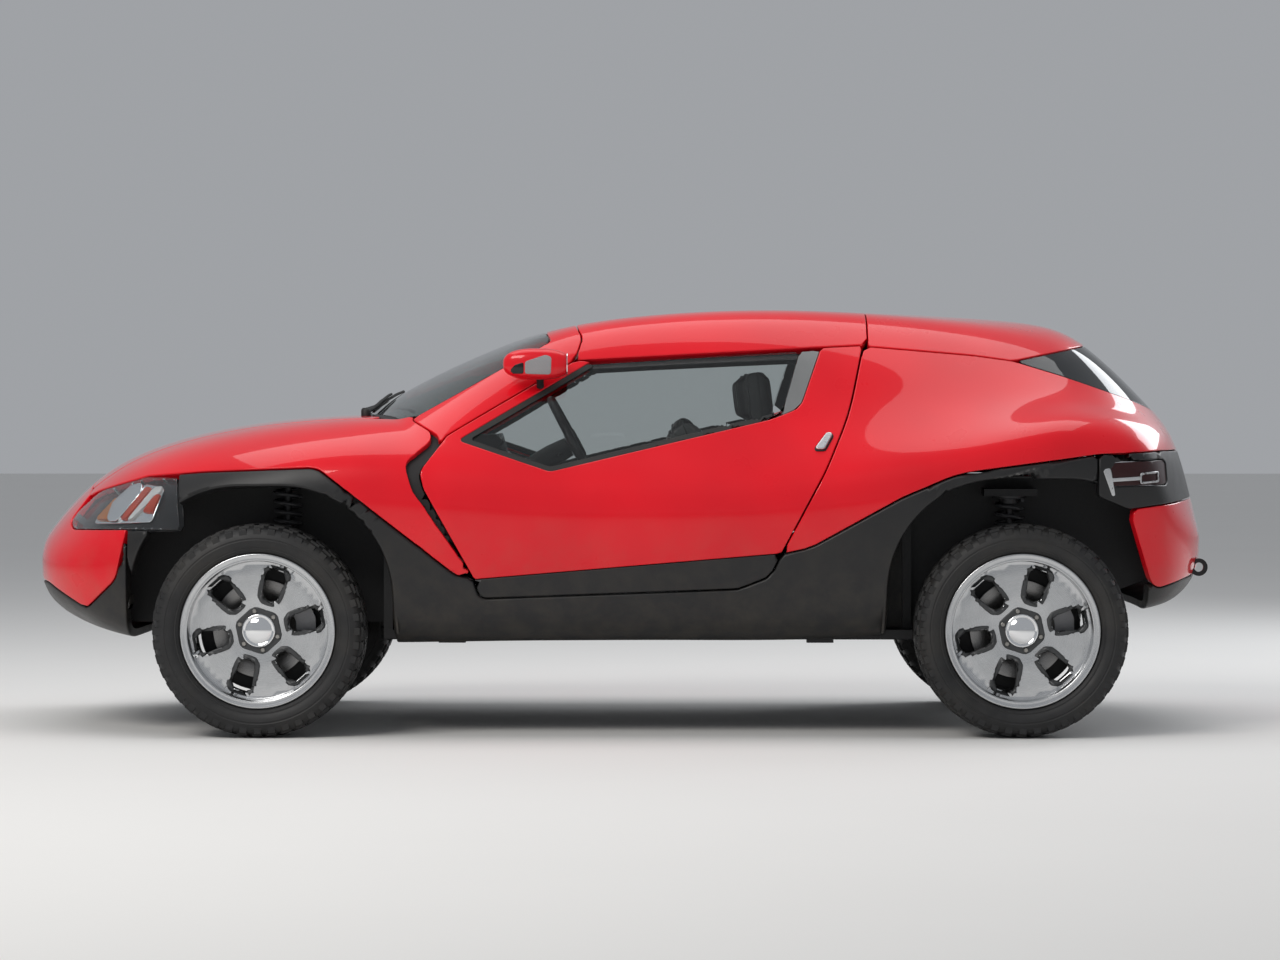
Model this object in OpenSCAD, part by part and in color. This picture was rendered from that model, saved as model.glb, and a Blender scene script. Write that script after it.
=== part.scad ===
// Two-seat off-road concept car, full size, in millimetres.
// +Z is up, the nose points to -X, the car's left side is -Y, and the origin is on the ground.

/* [Wheels] */
// Tyre outside radius
tyre_radius = 356; // [340:1:372]
// Tyre width over its sidewalls
tyre_width = 255; // [225:1:275]
// Rim flange radius
rim_radius = 258; // [240:1:270]
// Middle of the car to the middle plane of each wheel
half_track = 800; // [785:1:812]
// Front axle along the car
front_axle_x = -1195; // [-1215:1:-1175]
// Rear axle along the car
rear_axle_x = 1344; // [1324:1:1364]
// Radius of the six wheel windows' outer ends, measured in from the flange
window_margin = 24; // [16:1:40]
// Brake disc radius
brake_radius = 165; // [140:1:180]
// Stub axle radius
stub_radius = 22; // [16:1:30]
// Running clearance of a shaft in its bore
run_clear = 0.3; // [0.1:0.1:0.6]

/* [Body] */
// Thickness of the skin panels
skin = 28; // [18:1:40]
// Thickness of the outer door skin
door_skin = 12; // [8:1:16]
// Thickness of the whole door with its inner box
door_wall = 80; // [60:1:95]
// Thickness of the roof panels
roof_wall = 34; // [24:1:45]
// Glass thickness
glass = 6; // [4:1:9]
// Depth of the side glass below the outer surface
glass_sink = 8; // [4:1:12]
// Gap between fixed panels
shut_gap = 0.6; // [0.4:0.1:0.9]
// Gap all round the bonnet
bonnet_gap = 8; // [7:1:10]
// Gap all round a door
door_gap = 11; // [10:1:14]

/* [Cabin] */
// Floor top above the ground
floor_z = 350; // [335:1:370]
// Thickness of the floor and bulkhead sheets
sheet = 30; // [20:1:36]
// Half width of the floor between the sills
floor_half = 700; // [690:1:710]
// Seat middle from the middle of the car
seat_y = 370; // [350:1:390]
// Seat width
seat_width = 500; // [440:10:520]
// Steering wheel radius
steering_radius = 185; // [170:1:195]
// Steering wheel lean from upright in degrees
steering_lean = 28; // [20:1:34]

/* [Fittings] */
// Radius of the towing eye's hole
tow_bore = 16; // [12:1:20]
// Thickness of the towing eye's plate
tow_plate = 16; // [12:1:24]
// Half length of a jacking pad
jack_half = 45; // [35:1:60]

/* [Hidden] */
$fn = 48;
axle_z = tyre_radius;
wheel_out = half_track + tyre_width / 2;
well_reach = tyre_radius + 100;
kingpin_y = half_track - 100;
front_well_y = half_track - 330;
rear_well_y = half_track - 280;
front_well_top = 838;
rear_well_top = 860;
far = 3000;

// Body sections along the car. Columns: x of the middle line, bow of the section in plan at 900 out,
// z_top, then pairs y,z for the upper edge, the belt, the shoulder, the widest place and the sill,
// and last z_bottom.
sections = [
  [-2016,   40,  590,  70,  589, 100,  585, 125,  579, 130, 570, 120, 560, 556],
  [-2012,  220,  640, 270,  634, 380,  615, 440,  590, 460, 560, 430, 505, 480],
  [-1988,  300,  682, 405,  668, 545,  636, 605,  602, 625, 560, 595, 466, 428],
  [-1900,  320,  785, 480,  768, 655,  718, 725,  660, 750, 585, 722, 425, 368],
  [-1750,  315,  906, 560,  890, 742,  832, 818,  760, 845, 660, 812, 420, 320],
  [-1500,  300, 1000, 610,  990, 795,  935, 880,  865, 910, 750, 862, 430, 305],
  [-1190,  285, 1055, 640, 1045, 815,  985, 893,  908, 922, 780, 866, 440, 306],
  [ -935,  275, 1074, 665, 1061, 812,  985, 886,  896, 912, 756, 855, 440, 310],
  [ -875,  270, 1086, 670, 1066, 811,  986, 883,  893, 910, 752, 852, 440, 310],
  [ -700,  238, 1191, 680, 1130, 797, 1003, 877,  893, 908, 748, 850, 440, 312],
  [ -430,  170, 1311, 640, 1252, 770, 1020, 866,  888, 904, 742, 847, 440, 315],
  [ -200,  110, 1381, 592, 1340, 748, 1040, 861,  886, 902, 740, 846, 440, 316],
  [  200,   30, 1426, 543, 1387, 726, 1078, 857,  887, 900, 744, 845, 440, 318],
  [  650,    0, 1440, 512, 1394, 711, 1108, 858,  903, 904, 763, 846, 446, 319],
  [ 1150,  -25, 1416, 475, 1353, 690, 1120, 872,  973, 922, 829, 855, 480, 349],
  [ 1450,  -60, 1390, 445, 1290, 655, 1124, 856, 1036, 919, 876, 840, 514, 375],
  [ 1630, -102, 1320, 430, 1220, 633, 1110, 822, 1050, 893, 900, 808, 536, 392],
  [ 1850, -160, 1105, 420, 1075, 595, 1045, 745, 1005, 825, 890, 745, 570, 425],
  [ 1945, -195,  965, 405,  950, 560,  930, 680,  900, 755, 840, 695, 590, 455],
  [ 2006, -205,  735, 365,  728, 490,  716, 575,  700, 620, 665, 590, 595, 520],
  [ 2016,  -40,  660,  70,  658, 100,  654, 125,  648, 130, 640, 120, 630, 626],
];

// Smooth curves: a cubic spline whose points are first pushed out so that it passes through them.
function eased(v) = [for (i = [0:len(v) - 1])
  i == 0 || i == len(v) - 1 ? v[i] : v[i] - (v[i - 1] - 2 * v[i] + v[i + 1]) / 6];
function eased_ring(v) = let (n = len(v)) [for (i = [0:n - 1])
  v[i] - (v[(i + n - 1) % n] - 2 * v[i] + v[(i + 1) % n]) / 6];
function blend(a, b, c, d, t) = (a * pow(1 - t, 3) + b * (3 * t * t * t - 6 * t * t + 4)
  + c * (-3 * t * t * t + 3 * t * t + 3 * t + 1) + d * t * t * t) / 6;
function along(v, n) = let (q = eased(v), m = len(v), p = concat([2 * q[0] - q[1]], q, [2 * q[m - 1] - q[m - 2]]))
  concat([for (i = [0:m - 2]) for (k = [0:n - 1]) blend(p[i], p[i + 1], p[i + 2], p[i + 3], k / n)], [q[m - 1]]);
function around(v, n) = let (q = eased_ring(v), m = len(v)) [for (i = [0:m - 1]) for (k = [0:n[i] - 1])
  blend(q[(i + m - 1) % m], q[i], q[(i + 1) % m], q[(i + 2) % m], k / n[i])];

// One section: half from the top middle down to the bottom middle, then its mirror image
function half_section(r) = [[0, r[2]], [0.55 * r[3], r[2] - 0.25 * (r[2] - r[4])], [r[3], r[4]], [r[5], r[6]],
  [r[7], r[8]], [r[9], r[10]], [r[11], r[12]], [0.87 * r[11], r[13]], [0.45 * r[11], r[13]], [0, r[13]]];
function section(r) = let (h = half_section(r)) concat(h, [for (i = [8:-1:1]) [-h[i][0], h[i][1]]]);
function bowed(r, p) = [r[0] + r[1] * p[0] * p[0] / 810000, p[0], p[1]];
// Steps in each span of a half section, from the top middle down to the bottom middle
half_steps = [2, 2, 3, 3, 3, 3, 2, 1, 1];
ring_steps = concat(half_steps, reversed(half_steps));
surface = [for (r = along(sections, 2)) [for (p = around(section(r), ring_steps)) bowed(r, p)]];
rows = len(surface);
ring = len(surface[0]);

// The surface moved in by t along its normals
function normal_at(i, j) = let (
  u = surface[min(i + 1, rows - 1)][j] - surface[max(i - 1, 0)][j],
  v = surface[i][(j + 1) % ring] - surface[i][(j + ring - 1) % ring],
  n = cross(u, v)) n / norm(n);
body_end = sections[len(sections) - 1][0];
function kept_in(p, t) = [min(max(p[0], sections[0][0] + t), body_end - t), p[1], p[2]];
function moved_in(t) = [for (i = [0:rows - 1]) for (j = [0:ring - 1])
  kept_in(surface[i][j] - t * normal_at(i, j), t)];
function mean(v, k = 0) = k == len(v) - 1 ? v[k] / len(v) : v[k] / len(v) + mean(v, k + 1);

// Closed body volume moved in by t
module volume(t = 0) {
  pts = moved_in(t);
  nose = mean([for (j = [0:ring - 1]) pts[j]]);
  tail = mean([for (j = [0:ring - 1]) pts[(rows - 1) * ring + j]]);
  last = rows * ring;
  quads = [for (i = [0:rows - 2]) for (j = [0:ring - 1]) let (
    a = i * ring + j, b = i * ring + (j + 1) % ring, c = b + ring, d = a + ring) each [[a, b, c], [a, c, d]]];
  caps = [for (j = [0:ring - 1]) let (k = (j + 1) % ring, e = (rows - 1) * ring)
    each [[last, k, j], [last + 1, e + j, e + k]]];
  polyhedron(points = concat(pts, [nose, tail]), faces = concat(quads, caps), convexity = 8);
}

// Outlines in side view are [x, z, corner radius] from point to point
function unit(v) = v / norm(v);
function flat(p) = [p[0], p[1]];
function corner(a, b, c, r, n = 6) = r <= 0 ? [b] : let (u = unit(a - b), w = unit(c - b), half = acos(u * w) / 2,
  mid = b + unit(u + w) * r / sin(half), s = b + u * r / tan(half) - mid,
  turn = sign(u[0] * w[1] - u[1] * w[0]) * (180 - 2 * half))
  [for (k = [0:n]) let (f = -turn * k / n) mid + [s[0] * cos(f) - s[1] * sin(f), s[0] * sin(f) + s[1] * cos(f)]];
function rounded(v, steps = 6) = let (n = len(v)) [for (i = [0:n - 1])
  each corner(flat(v[(i + n - 1) % n]), flat(v[i]), flat(v[(i + 1) % n]), v[i][2], steps)];
function reversed(v) = [for (i = [len(v) - 1:-1:0]) v[i]];

// Shut lines, each shared by the panels on both its sides
red_edge_front = [[-1590, 868, 0], [-1385, 885, 900], [-1000, 900, 70], [-539, 540, 60], [-473, 526, 0]];
red_edge_rear = [[545, 611, 0], [640, 631, 200], [940, 797, 300], [1130, 879, 400], [1600, 941, 0]];
wing_rear = [[-690, 1056, 0], [-600, 1004, 30], [-708, 915, 45], [-680, 822, 80], [-473, 526, 0]];
door_front = [[-568, 1003, 0], [-655, 885, 40], [-640, 828, 60], [-478, 536, 30], [-455, 466, 25]];
door_bottom = [[400, 498, 60], [505, 540, 40]];
door_rear = [[539, 612, 150], [692, 900, 800], [770, 1080, 800], [823, 1306, 0]];
pillar_top = [-148, 1253, 60];
screen_corner_low = [-690, 1064, 0];
screen_corner_high = [-230, 1325, 0];
screen_head = [-294, 1420, 0];
roof_front = [[-188, 1460, 0], [-123, 1335, 0], [-151, 1240, 0]];
roof_rear_x = 846;
waist = [[roof_rear_x, 1306, 0], [1205, 1276, 900], [1345, 1257, 0]];
visor_top = [1646, 1320, 0];
visor_low = [[1500, 1210, 500], [1880, 1081, 0], [2100, 1081, 0]];
tail_high = [[1600, 941, 0], [1830, 953, 0], [2100, 951, 0]];
tail_low = [[1600, 800, 0], [1706, 757, 30], [1950, 787, 0], [2100, 793, 0]];
bumper_low = [[1706, 757, 30], [1765, 583, 60], [1800, 483, 40], [1960, 527, 60], [2100, 537, 0]];
nose_low = [[-1651, 690, 0], [-1690, 520, 60], [-1802, 418, 20], [-1957, 501, 60], [-2100, 507, 0]];
lamp_recess = [[-1651, 690, 0], [-1900, 684, 25], [-1862, 743, 60], [-1777, 817, 120], [-1590, 868, 0], [-1480, 866, 0],
  [-1460, 690, 0]];

door_outline = rounded(concat(door_front, door_bottom, door_rear, [pillar_top]));
door_box_front = -470;
door_box = rounded([[door_box_front, 520, 0], [door_box_front, 960, 0], [500, 1000, 60], [720, 1290, 30], [750, 1290, 10],
  [640, 930, 0], [480, 640, 40], [370, 520, 40]]);
window_cut = rounded([[-535, 990, 8], [-225, 886, 45], [514, 1060, 80], [612, 1098, 60], [690, 1312, 0], [690, 1500, 0],
  [-60, 1500, 0], [-60, 1274, 0]]);
glass_zone = rounded([[-700, 700, 0], [450, 700, 0], [450, 1035, 0], [552, 1090, 50], [614, 1293, 0], [-130, 1246, 0],
  [-700, 1246, 0]]);
trim_zone = rounded([[450.6, 1000, 0], [450.6, 1034, 0], [553, 1089, 50], [615, 1293, 0], [760, 1299, 0], [760, 1000, 0]]);
handle_outline = [[655, 955], [698, 1010], [722, 1010], [690, 955]];
tail_lamp_outline = rounded([[1640, 835, 15], [1640, 915, 15], [1850, 925, 15], [1850, 840, 15]]);
well_front = rounded([[front_axle_x - well_reach, 0, 0], [front_axle_x - well_reach + 20, front_well_top, 370],
  [front_axle_x + well_reach - 20, front_well_top, 370], [front_axle_x + well_reach, 0, 0]]);
well_rear = rounded([[rear_axle_x - well_reach, 0, 0], [rear_axle_x - well_reach + 20, rear_well_top, 370],
  [rear_axle_x + well_reach - 20, rear_well_top, 300], [rear_axle_x + well_reach + 40, 0, 0]]);

wing_outline = rounded(concat([[-1825, 1150, 0], [-1825, 796, 0], [-1777, 817, 120]], red_edge_front, reversed(wing_rear),
  [[-690, 1150, 0]]));
nose_outline = rounded(concat([[-2100, 1000, 0], [-1825, 1000, 0], [-1825, 796, 0], [-1862, 743, 60], [-1900, 684, 25]],
  nose_low));
apron_front_outline = rounded(concat(reversed(nose_low), [[-1651, 200, 0], [-2100, 200, 0]]));
cladding_outline = rounded(concat([[-1651, 690, 0], [-1460, 690, 0], [-1480, 866, 0]], red_edge_front, red_edge_rear,
  [[1600, 800, 0], [1706, 757, 0], [1765, 583, 60], [1780, 200, 0], [-1651, 200, 0]]));
rear_outline = rounded(concat(reversed(red_edge_rear), [[560, 700, 0]], [for (i = [1:3]) door_rear[i]], waist, visor_low, [[2100, 951, 0], [1830, 953, 0]]));
tail_outline = rounded(concat(tail_high, reversed(tail_low)));
bumper_outline = rounded(concat([[2100, 793, 0], [1950, 787, 0]], bumper_low));
apron_rear_outline = rounded([[1782.15, 534, 0], [1800, 483, 40], [1960, 527, 60], [2100, 537, 0], [2100, 300, 0], [1781, 300, 0]]);
frame_outline = rounded(concat([screen_corner_low, screen_corner_high, screen_head], roof_front, [[-600, 960, 0],
  [-600, 1004, 30], [-690, 1056, 0]]));
screen_outline = rounded([[-1000, 1000, 0], [-740, 1000, 0], screen_corner_low, screen_corner_high, screen_head,
  [-1000, 1420, 0]]);
roof_outline = rounded(concat(roof_front, [[823, 1290, 0], [823, 1306, 0], [roof_rear_x, 1306, 0], [roof_rear_x, 1460, 0]]));
rear_roof_outline = rounded(concat([[roof_rear_x, 1460, 0]], waist, [visor_top, [1750, 1460, 0]]));
visor_outline = rounded(concat([[1345, 1257, 0]], visor_low, [[2100, 1300, 0], [1750, 1460, 0], visor_top]));
// The bonnet in plan: half width at the nose line and at the cowl, and the bowed line of the cowl
bonnet_nose_x = -1825;
bonnet_nose_half = 330;
bonnet_cowl_half = 640;
cowl_x = -925;
cowl_bow = 275;
screen_foot = 40;
screen_side_x = -690;
screen_side_y = bonnet_cowl_half + 36;
function cowl_line(x) = [for (y = [-bonnet_cowl_half:80:bonnet_cowl_half]) [x + cowl_bow * y * y / 810000, y]];
cowl_corner_x = cowl_x + cowl_bow * bonnet_cowl_half * bonnet_cowl_half / 810000;
bonnet_points = concat([[bonnet_nose_x, bonnet_nose_half], [bonnet_nose_x, -bonnet_nose_half]], cowl_line(cowl_x));
wing_inner_points = [[bonnet_nose_x, -bonnet_nose_half], [cowl_corner_x, -bonnet_cowl_half],
  [screen_side_x, -screen_side_y], [-400, -screen_side_y], [-400, screen_side_y], [screen_side_x, screen_side_y],
  [cowl_corner_x, bonnet_cowl_half], [bonnet_nose_x, bonnet_nose_half]];
screen_corner_x = cowl_corner_x + screen_foot;
screen_corner_y = bonnet_cowl_half + screen_foot * (screen_side_y - bonnet_cowl_half) / (screen_side_x - cowl_corner_x);
screen_points = concat(cowl_line(cowl_x + screen_foot), [[screen_corner_x, screen_corner_y],
  [screen_side_x, screen_side_y], [screen_side_x, 900], [0, 900], [0, -900], [screen_side_x, -900],
  [screen_side_x, -screen_side_y], [screen_corner_x, -screen_corner_y]]);
cowl_points = concat(cowl_line(cowl_x), [[screen_corner_x, screen_corner_y]], reversed(cowl_line(cowl_x + screen_foot)),
  [[screen_corner_x, -screen_corner_y]]);

module side_cut(outline, grow = 0) rotate([90, 0, 0]) linear_extrude(far, center = true)
  offset(delta = grow) polygon(outline);
// One mesh of the pieces within it
module as_mesh() resize([0, 0, 0]) union() children();
module shell(t, from = 0) difference() { volume(from); volume(t); }
module left() translate([-far, -far, -far]) cube([2 * far, far, 2 * far]);
module both_sides() { children(); mirror([0, 1, 0]) children(); }
module box(x0, x1, y0, y1, z0, z1) translate([x0, y0, z0]) cube([x1 - x0, y1 - y0, z1 - z0]);
// A prism with its outline in side view between two distances from the middle
module side_prism(outline, y0, y1) translate([0, y1, 0]) rotate([90, 0, 0]) linear_extrude(y1 - y0) polygon(outline);
module rod(p, q, r) { d = q - p; translate(p) rotate([0, acos(d[2] / norm(d)), atan2(d[1], d[0])])
  cylinder(r = r, h = norm(d)); }

red = "#c4121c";
black = "#1b1b1d";
grey = "#6d7074";
silver = "#c9ccd0";
tint = "#30383d";

module panel(t, outline) as_mesh() difference() {
  intersection() { shell(t); side_cut(outline, -shut_gap / 2); }
  side_cut(door_outline, door_gap);
  children();
}
module plan_cut(points, grow = 0) translate([0, 0, 500]) linear_extrude(far) offset(delta = grow) polygon(points);

module wings() color(red) panel(skin, wing_outline) {
  plan_cut(wing_inner_points, shut_gap / 2);
  plan_cut(bonnet_points, bonnet_gap);
}
bonnet_corner = 40;
module bonnet() color(red) as_mesh() intersection() {
  union() {
    shell(skin);
    for (x = [-1500, -1100], y = [-1, 1]) translate([x, y * bonnet_foot_y, bay_top(x) + 2.3]) cylinder(r = 14, h = 400, $fn = 16);
  }
  volume();
  translate([0, 0, 500]) linear_extrude(far) offset(r = bonnet_corner) offset(delta = -bonnet_corner) polygon(bonnet_points);
}
module cowl() color(black) panel(skin, [[-1000, 500], [-1000, 1200], [-600, 1200], [-600, 500]]) {
  difference() { box(-far, far, -far, far, 0, far); plan_cut(cowl_points, -shut_gap / 2); }
  plan_cut(bonnet_points, bonnet_gap);
}
module nose_cone() color(red) panel(skin, nose_outline) plan_cut(bonnet_points, bonnet_gap);
intake_half = 360;
intake_low = 400;
intake_high = 488;
module intake(grow = 0) box(-2100, -1850, -intake_half - grow, intake_half + grow, intake_low - grow, intake_high + grow);
module front_apron() color(black) panel(skin, apron_front_outline) intake();
module grille() color(grey) as_mesh() intersection() {
  shell(skin - 6, 6);
  union() for (z = [intake_low + 10:24:intake_high - 10]) box(-2100, -1850, -intake_half + 0.3, intake_half - 0.3, z, z + 10);
}
module windscreen_frame() color(red) panel(skin, frame_outline);
module windscreen() color(tint) as_mesh() intersection() {
  shell(4 + glass, 4);
  side_cut(screen_outline, -shut_gap / 2);
  plan_cut(screen_points, -shut_gap / 2);
}
t_bar_half = 100;
module roof_panels() color(red) panel(roof_wall, roof_outline) box(-far, far, -t_bar_half, t_bar_half, 1000, 2000);
module t_bar() color(red) panel(roof_wall, roof_outline) both_sides()
  box(-far, far, t_bar_half - shut_gap, far, 1000, 2000);
module rear_roof() color(red) panel(skin, rear_roof_outline);
module rear_body() color(red) panel(skin, rear_outline);
module rear_window() color(tint) as_mesh() intersection() {
  shell(2 + 2 * glass, 2);
  side_cut(visor_outline, -shut_gap / 2);
}
tow_y = -430;
tow_x = 1986;
tow_z = 552;
tow_ring = 30;
tow_foot = 1940;
module tow_slot() box(1700, 2100, tow_y - tow_plate / 2 - 6, tow_y + tow_plate / 2 + 6, tow_z - tow_ring - 6, tow_z + tow_ring + 6);
module tail_panel() color(black) panel(skin, tail_outline) side_cut(tail_lamp_outline, shut_gap);
module tail_lamps() color("#7c0d14") as_mesh() intersection() { shell(skin); side_cut(tail_lamp_outline); }
module rear_bumper() color(red) panel(skin, bumper_outline) tow_slot();
module rear_apron() color(black) panel(skin, apron_rear_outline) tow_slot();
module cladding() color(black) panel(skin, cladding_outline) {
  side_cut(well_front);
  side_cut(well_rear);
  box(-far, far, -floor_half - run_clear, floor_half + run_clear, 0, 1000);
}
module headlamp_lenses() color(tint) as_mesh() intersection() { shell(9, 3); side_cut(rounded(lamp_recess), -shut_gap / 2); }
lamp_radius = 52;
lamp_front = [-1690, 520, 765];
lamp_rear = [-1510, 680, 772];
module headlamp_units() color(silver) both_sides() {
  rod(lamp_front, lamp_rear, lamp_radius);
  box(-1690, -1560, front_well_y + run_clear, 600, 770, 790);
}

module door_side() as_mesh() difference() {
  intersection() {
    union() {
      intersection() { shell(door_skin); side_cut(door_outline); }
      intersection() { shell(door_wall); side_cut(door_box); }
    }
    left();
  }
  side_cut(window_cut);
}
module door_left() color(red) door_side();
module door_right() color(red) mirror([0, 1, 0]) door_side();
module side_glass() as_mesh() intersection() {
  shell(glass_sink + glass, glass_sink);
  side_cut(window_cut, -run_clear);
  side_cut(glass_zone);
  left();
}
module door_left_glass() color(tint) side_glass();
module door_right_glass() color(tint) mirror([0, 1, 0]) side_glass();
module side_trim() as_mesh() {
  intersection() {
    shell(door_skin, 3);
    side_cut(window_cut, -run_clear);
    side_cut(trim_zone);
    left();
  }
  intersection() {
    shell(-run_clear, -13);
    side_cut(handle_outline);
    left();
  }
}
module door_left_trim() color(silver) side_trim();
module door_right_trim() color(silver) mirror([0, 1, 0]) side_trim();
mirror_ball = 50;
module side_mirror() as_mesh() difference() {
  union() {
    difference() {
      hull() {
        translate([-335, -735, 1240]) sphere(mirror_ball, $fn = 16);
        translate([-208, -742, 1248]) sphere(mirror_ball, $fn = 16);
      }
      volume(-8);
    }
    hull() {
      translate([-262, -738, 1202]) sphere(12, $fn = 16);
      translate([-262, -640, 1104]) sphere(10, $fn = 16);
    }
  }
  volume(-run_clear);
}
module mirror_left() color(red) side_mirror();
module mirror_right() color(red) mirror([0, 1, 0]) side_mirror();

// Plain structure under the panels
bay_wall = 30;
tunnel_half = 112;
nose_floor = 366;
bonnet_foot_y = front_well_y - bay_wall / 2;
function bay_top(x) = 860 + (x + 1500) * 0.14;
rail_z = 245;
rail_high = 40;
post_front = -545;
arm_pivot = 150;
strut_x = 70;
front_strut_y = half_track - 255;
rear_strut_y = half_track - 210;
strut_seat = 276;
front_shelf = 872;
rear_shelf = 800;
module rail(x, half, z) box(x - 20, x + 20, -half, half, z, z + rail_high);
sill_in = floor_half - 60;
sill_step = floor_z + 35;
sill_top = floor_z + 100;
bulkhead_x = -760;
rear_wall_x = 960;
boot_z = 600;
boot_end = 1810;
post_z = 650;
// The tub is a set of plates and boxes, each fixed to the next with a hairline joint
module floor_plates() {
  box(bulkhead_x + run_clear, rear_wall_x + sheet, -floor_half, floor_half, floor_z - sheet, floor_z);
  box(bulkhead_x + run_clear, rear_wall_x - run_clear, -tunnel_half, tunnel_half, floor_z + run_clear, 520);
  box(bulkhead_x - sheet, bulkhead_x, -floor_half + 10, floor_half - 10, floor_z - sheet, 985);
  both_sides() {
    box(-740, 870, sill_in, floor_half, floor_z + run_clear, sill_step - run_clear);
    box(-740, 870, sill_in, floor_half + 40, sill_step, sill_top);
    box(post_front - 75, post_front, sill_in, floor_half - 10, sill_top + run_clear, post_z - run_clear);
    box(post_front - 75, door_box_front - run_clear, sill_in, 845, post_z, post_z + 200);
    for (x = [-560, 680]) box(x - jack_half, x + jack_half, sill_in, floor_half - 10, 306, floor_z - sheet - run_clear);
  }
}
module front_plates() {
  wall_end = bulkhead_x - sheet - run_clear;
  box(-1700, -1670, -front_well_y + bay_wall + run_clear, front_well_y - bay_wall - run_clear, nose_floor, 640);
  for (side = [-1, 1]) rail(front_axle_x + side * arm_pivot, front_well_y + 10, rail_z);
  both_sides() {
    side_prism([[-1700, nose_floor], [-1700, 700], [-1500, bay_top(-1500)], [wall_end, bay_top(wall_end)],
      [wall_end, nose_floor]], front_well_y - bay_wall, front_well_y);
    box(front_axle_x - 20, front_axle_x + 160, front_well_y + run_clear, front_strut_y + 75, front_shelf, front_shelf + 24);
    for (side = [-1, 1]) box(front_axle_x + side * arm_pivot - 20, front_axle_x + side * arm_pivot + 20,
      front_well_y - bay_wall, front_well_y, rail_z + rail_high + run_clear, nose_floor - run_clear);
  }
}
module rear_plates() {
  wall_start = rear_wall_x + sheet + run_clear;
  wall_in = rear_well_y - bay_wall - run_clear;
  box(rear_wall_x, rear_wall_x + sheet, -rear_well_y - 100, rear_well_y + 100, floor_z + run_clear, 900);
  box(wall_start, boot_end - run_clear, -wall_in, wall_in, boot_z, boot_z + sheet);
  box(boot_end, boot_end + sheet, -rear_well_y, rear_well_y, 500, 760);
  box(boot_end + sheet + run_clear, tow_foot, tow_y - tow_plate / 2, tow_y + tow_plate / 2, tow_z - 18, tow_z + 18);
  for (side = [-1, 1]) rail(rear_axle_x + side * arm_pivot, rear_well_y + 10, rail_z - 20);
  both_sides() {
    side_prism([[wall_start, floor_z], [wall_start, 860], [boot_end - run_clear, 860], [boot_end - run_clear, 520],
      [1500, 400]], rear_well_y - bay_wall, rear_well_y);
    box(rear_axle_x - 110, rear_axle_x + 70, rear_well_y + run_clear, rear_strut_y + 70, rear_shelf, rear_shelf + 24);
    for (side = [-1, 1]) box(rear_axle_x + side * arm_pivot - 20, rear_axle_x + side * arm_pivot + 20, wall_in - 24,
      wall_in, rail_z - 20 + rail_high + run_clear, 480);
  }
}
module tub() color(black) {
  floor_plates();
  front_plates();
  rear_plates();
}
module engine() color(grey) box(-1430, -900, -260, 260, rail_z + rail_high + run_clear, 850);
pipe_z = 292;
module exhaust() color(silver) {
  translate([-860, 220, pipe_z]) rotate([0, 90, 0]) cylinder(r = 24, h = 2560);
  for (x = [-500, 500]) translate([x, 220, pipe_z]) cylinder(r = 9, h = floor_z - sheet - run_clear - pipe_z);
}
module dashboard() color(black) side_prism(rounded([[-760 + run_clear, 690, 0], [-760 + run_clear, 962, 0], [-560, 985, 60],
  [-400, 935, 40], [-372, 800, 50], [-520, 640, 60]]), -630, 630);
module seats() color(black) for (side = [-1, 1]) {
  side_prism_at(side * seat_y, seat_width, rounded([[-220, floor_z + run_clear, 10], [-240, 540, 40], [170, 500, 80],
    [415, 1065, 40], [495, 1045, 30], [330, 420, 60], [230, floor_z + run_clear, 10]]));
  side_prism_at(side * seat_y, 250, rounded([[428, 1050, 10], [440, 1230, 40], [555, 1215, 40], [500, 1040, 10]]));
}
module side_prism_at(y, width, outline) side_prism(outline, y - width / 2, y + width / 2);
steering_at = [-154, -370, 973];
module steering_wheel() color(black) difference() {
  translate(steering_at) rotate([0, 90 - steering_lean, 0]) {
    rotate_extrude() translate([steering_radius - 15, 0]) circle(15);
    cylinder(r = 55, h = 40, center = true);
    for (a = [90, 210, 330]) rotate([0, 0, a]) translate([0, -20, -8]) cube([steering_radius - 15, 40, 16]);
    translate([0, 0, -330]) cylinder(r = 30, h = 330);
  }
  side_prism(rounded([[-760, 690, 0], [-760, 962, 0], [-560, 985 + run_clear, 60], [-400 + run_clear, 935 + run_clear, 40],
    [-372 + run_clear, 800, 50], [-520, 640, 60]]), -640, 640);
}

// Running gear
ball = 12;
barrel_low = axle_z - 90;
barrel_high = axle_z + 95;
module front_arms() color(grey) both_sides() {
  difference() {
    union() {
      for (side = [-1, 1]) rod([front_axle_x, kingpin_y, barrel_low - 17],
        [front_axle_x + side * arm_pivot, front_well_y, rail_z + rail_high / 2], 13);
      translate([front_axle_x, kingpin_y, barrel_low - 28 - run_clear]) cylinder(r = 26, h = 28);
      translate([front_axle_x, kingpin_y, barrel_low - 28]) cylinder(r = ball, h = 54);
      rod([front_axle_x, kingpin_y, barrel_high + 17], [front_axle_x - 120, front_well_y - 20, barrel_high + 28], 13);
      translate([front_axle_x, kingpin_y, barrel_high + run_clear]) cylinder(r = 26, h = 28);
      translate([front_axle_x, kingpin_y, barrel_high - 26]) cylinder(r = ball, h = 54);
      box(front_axle_x - 110, front_axle_x + 110, front_strut_y - 25, front_strut_y + 25, strut_seat - 20, strut_seat);
    }
    box(front_axle_x - 300, front_axle_x + 300, 0, front_well_y + 10 + run_clear, 0, 400);
    box(front_axle_x - 300, front_axle_x + 300, 0, front_well_y + run_clear, 400, 600);
  }
}
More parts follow.
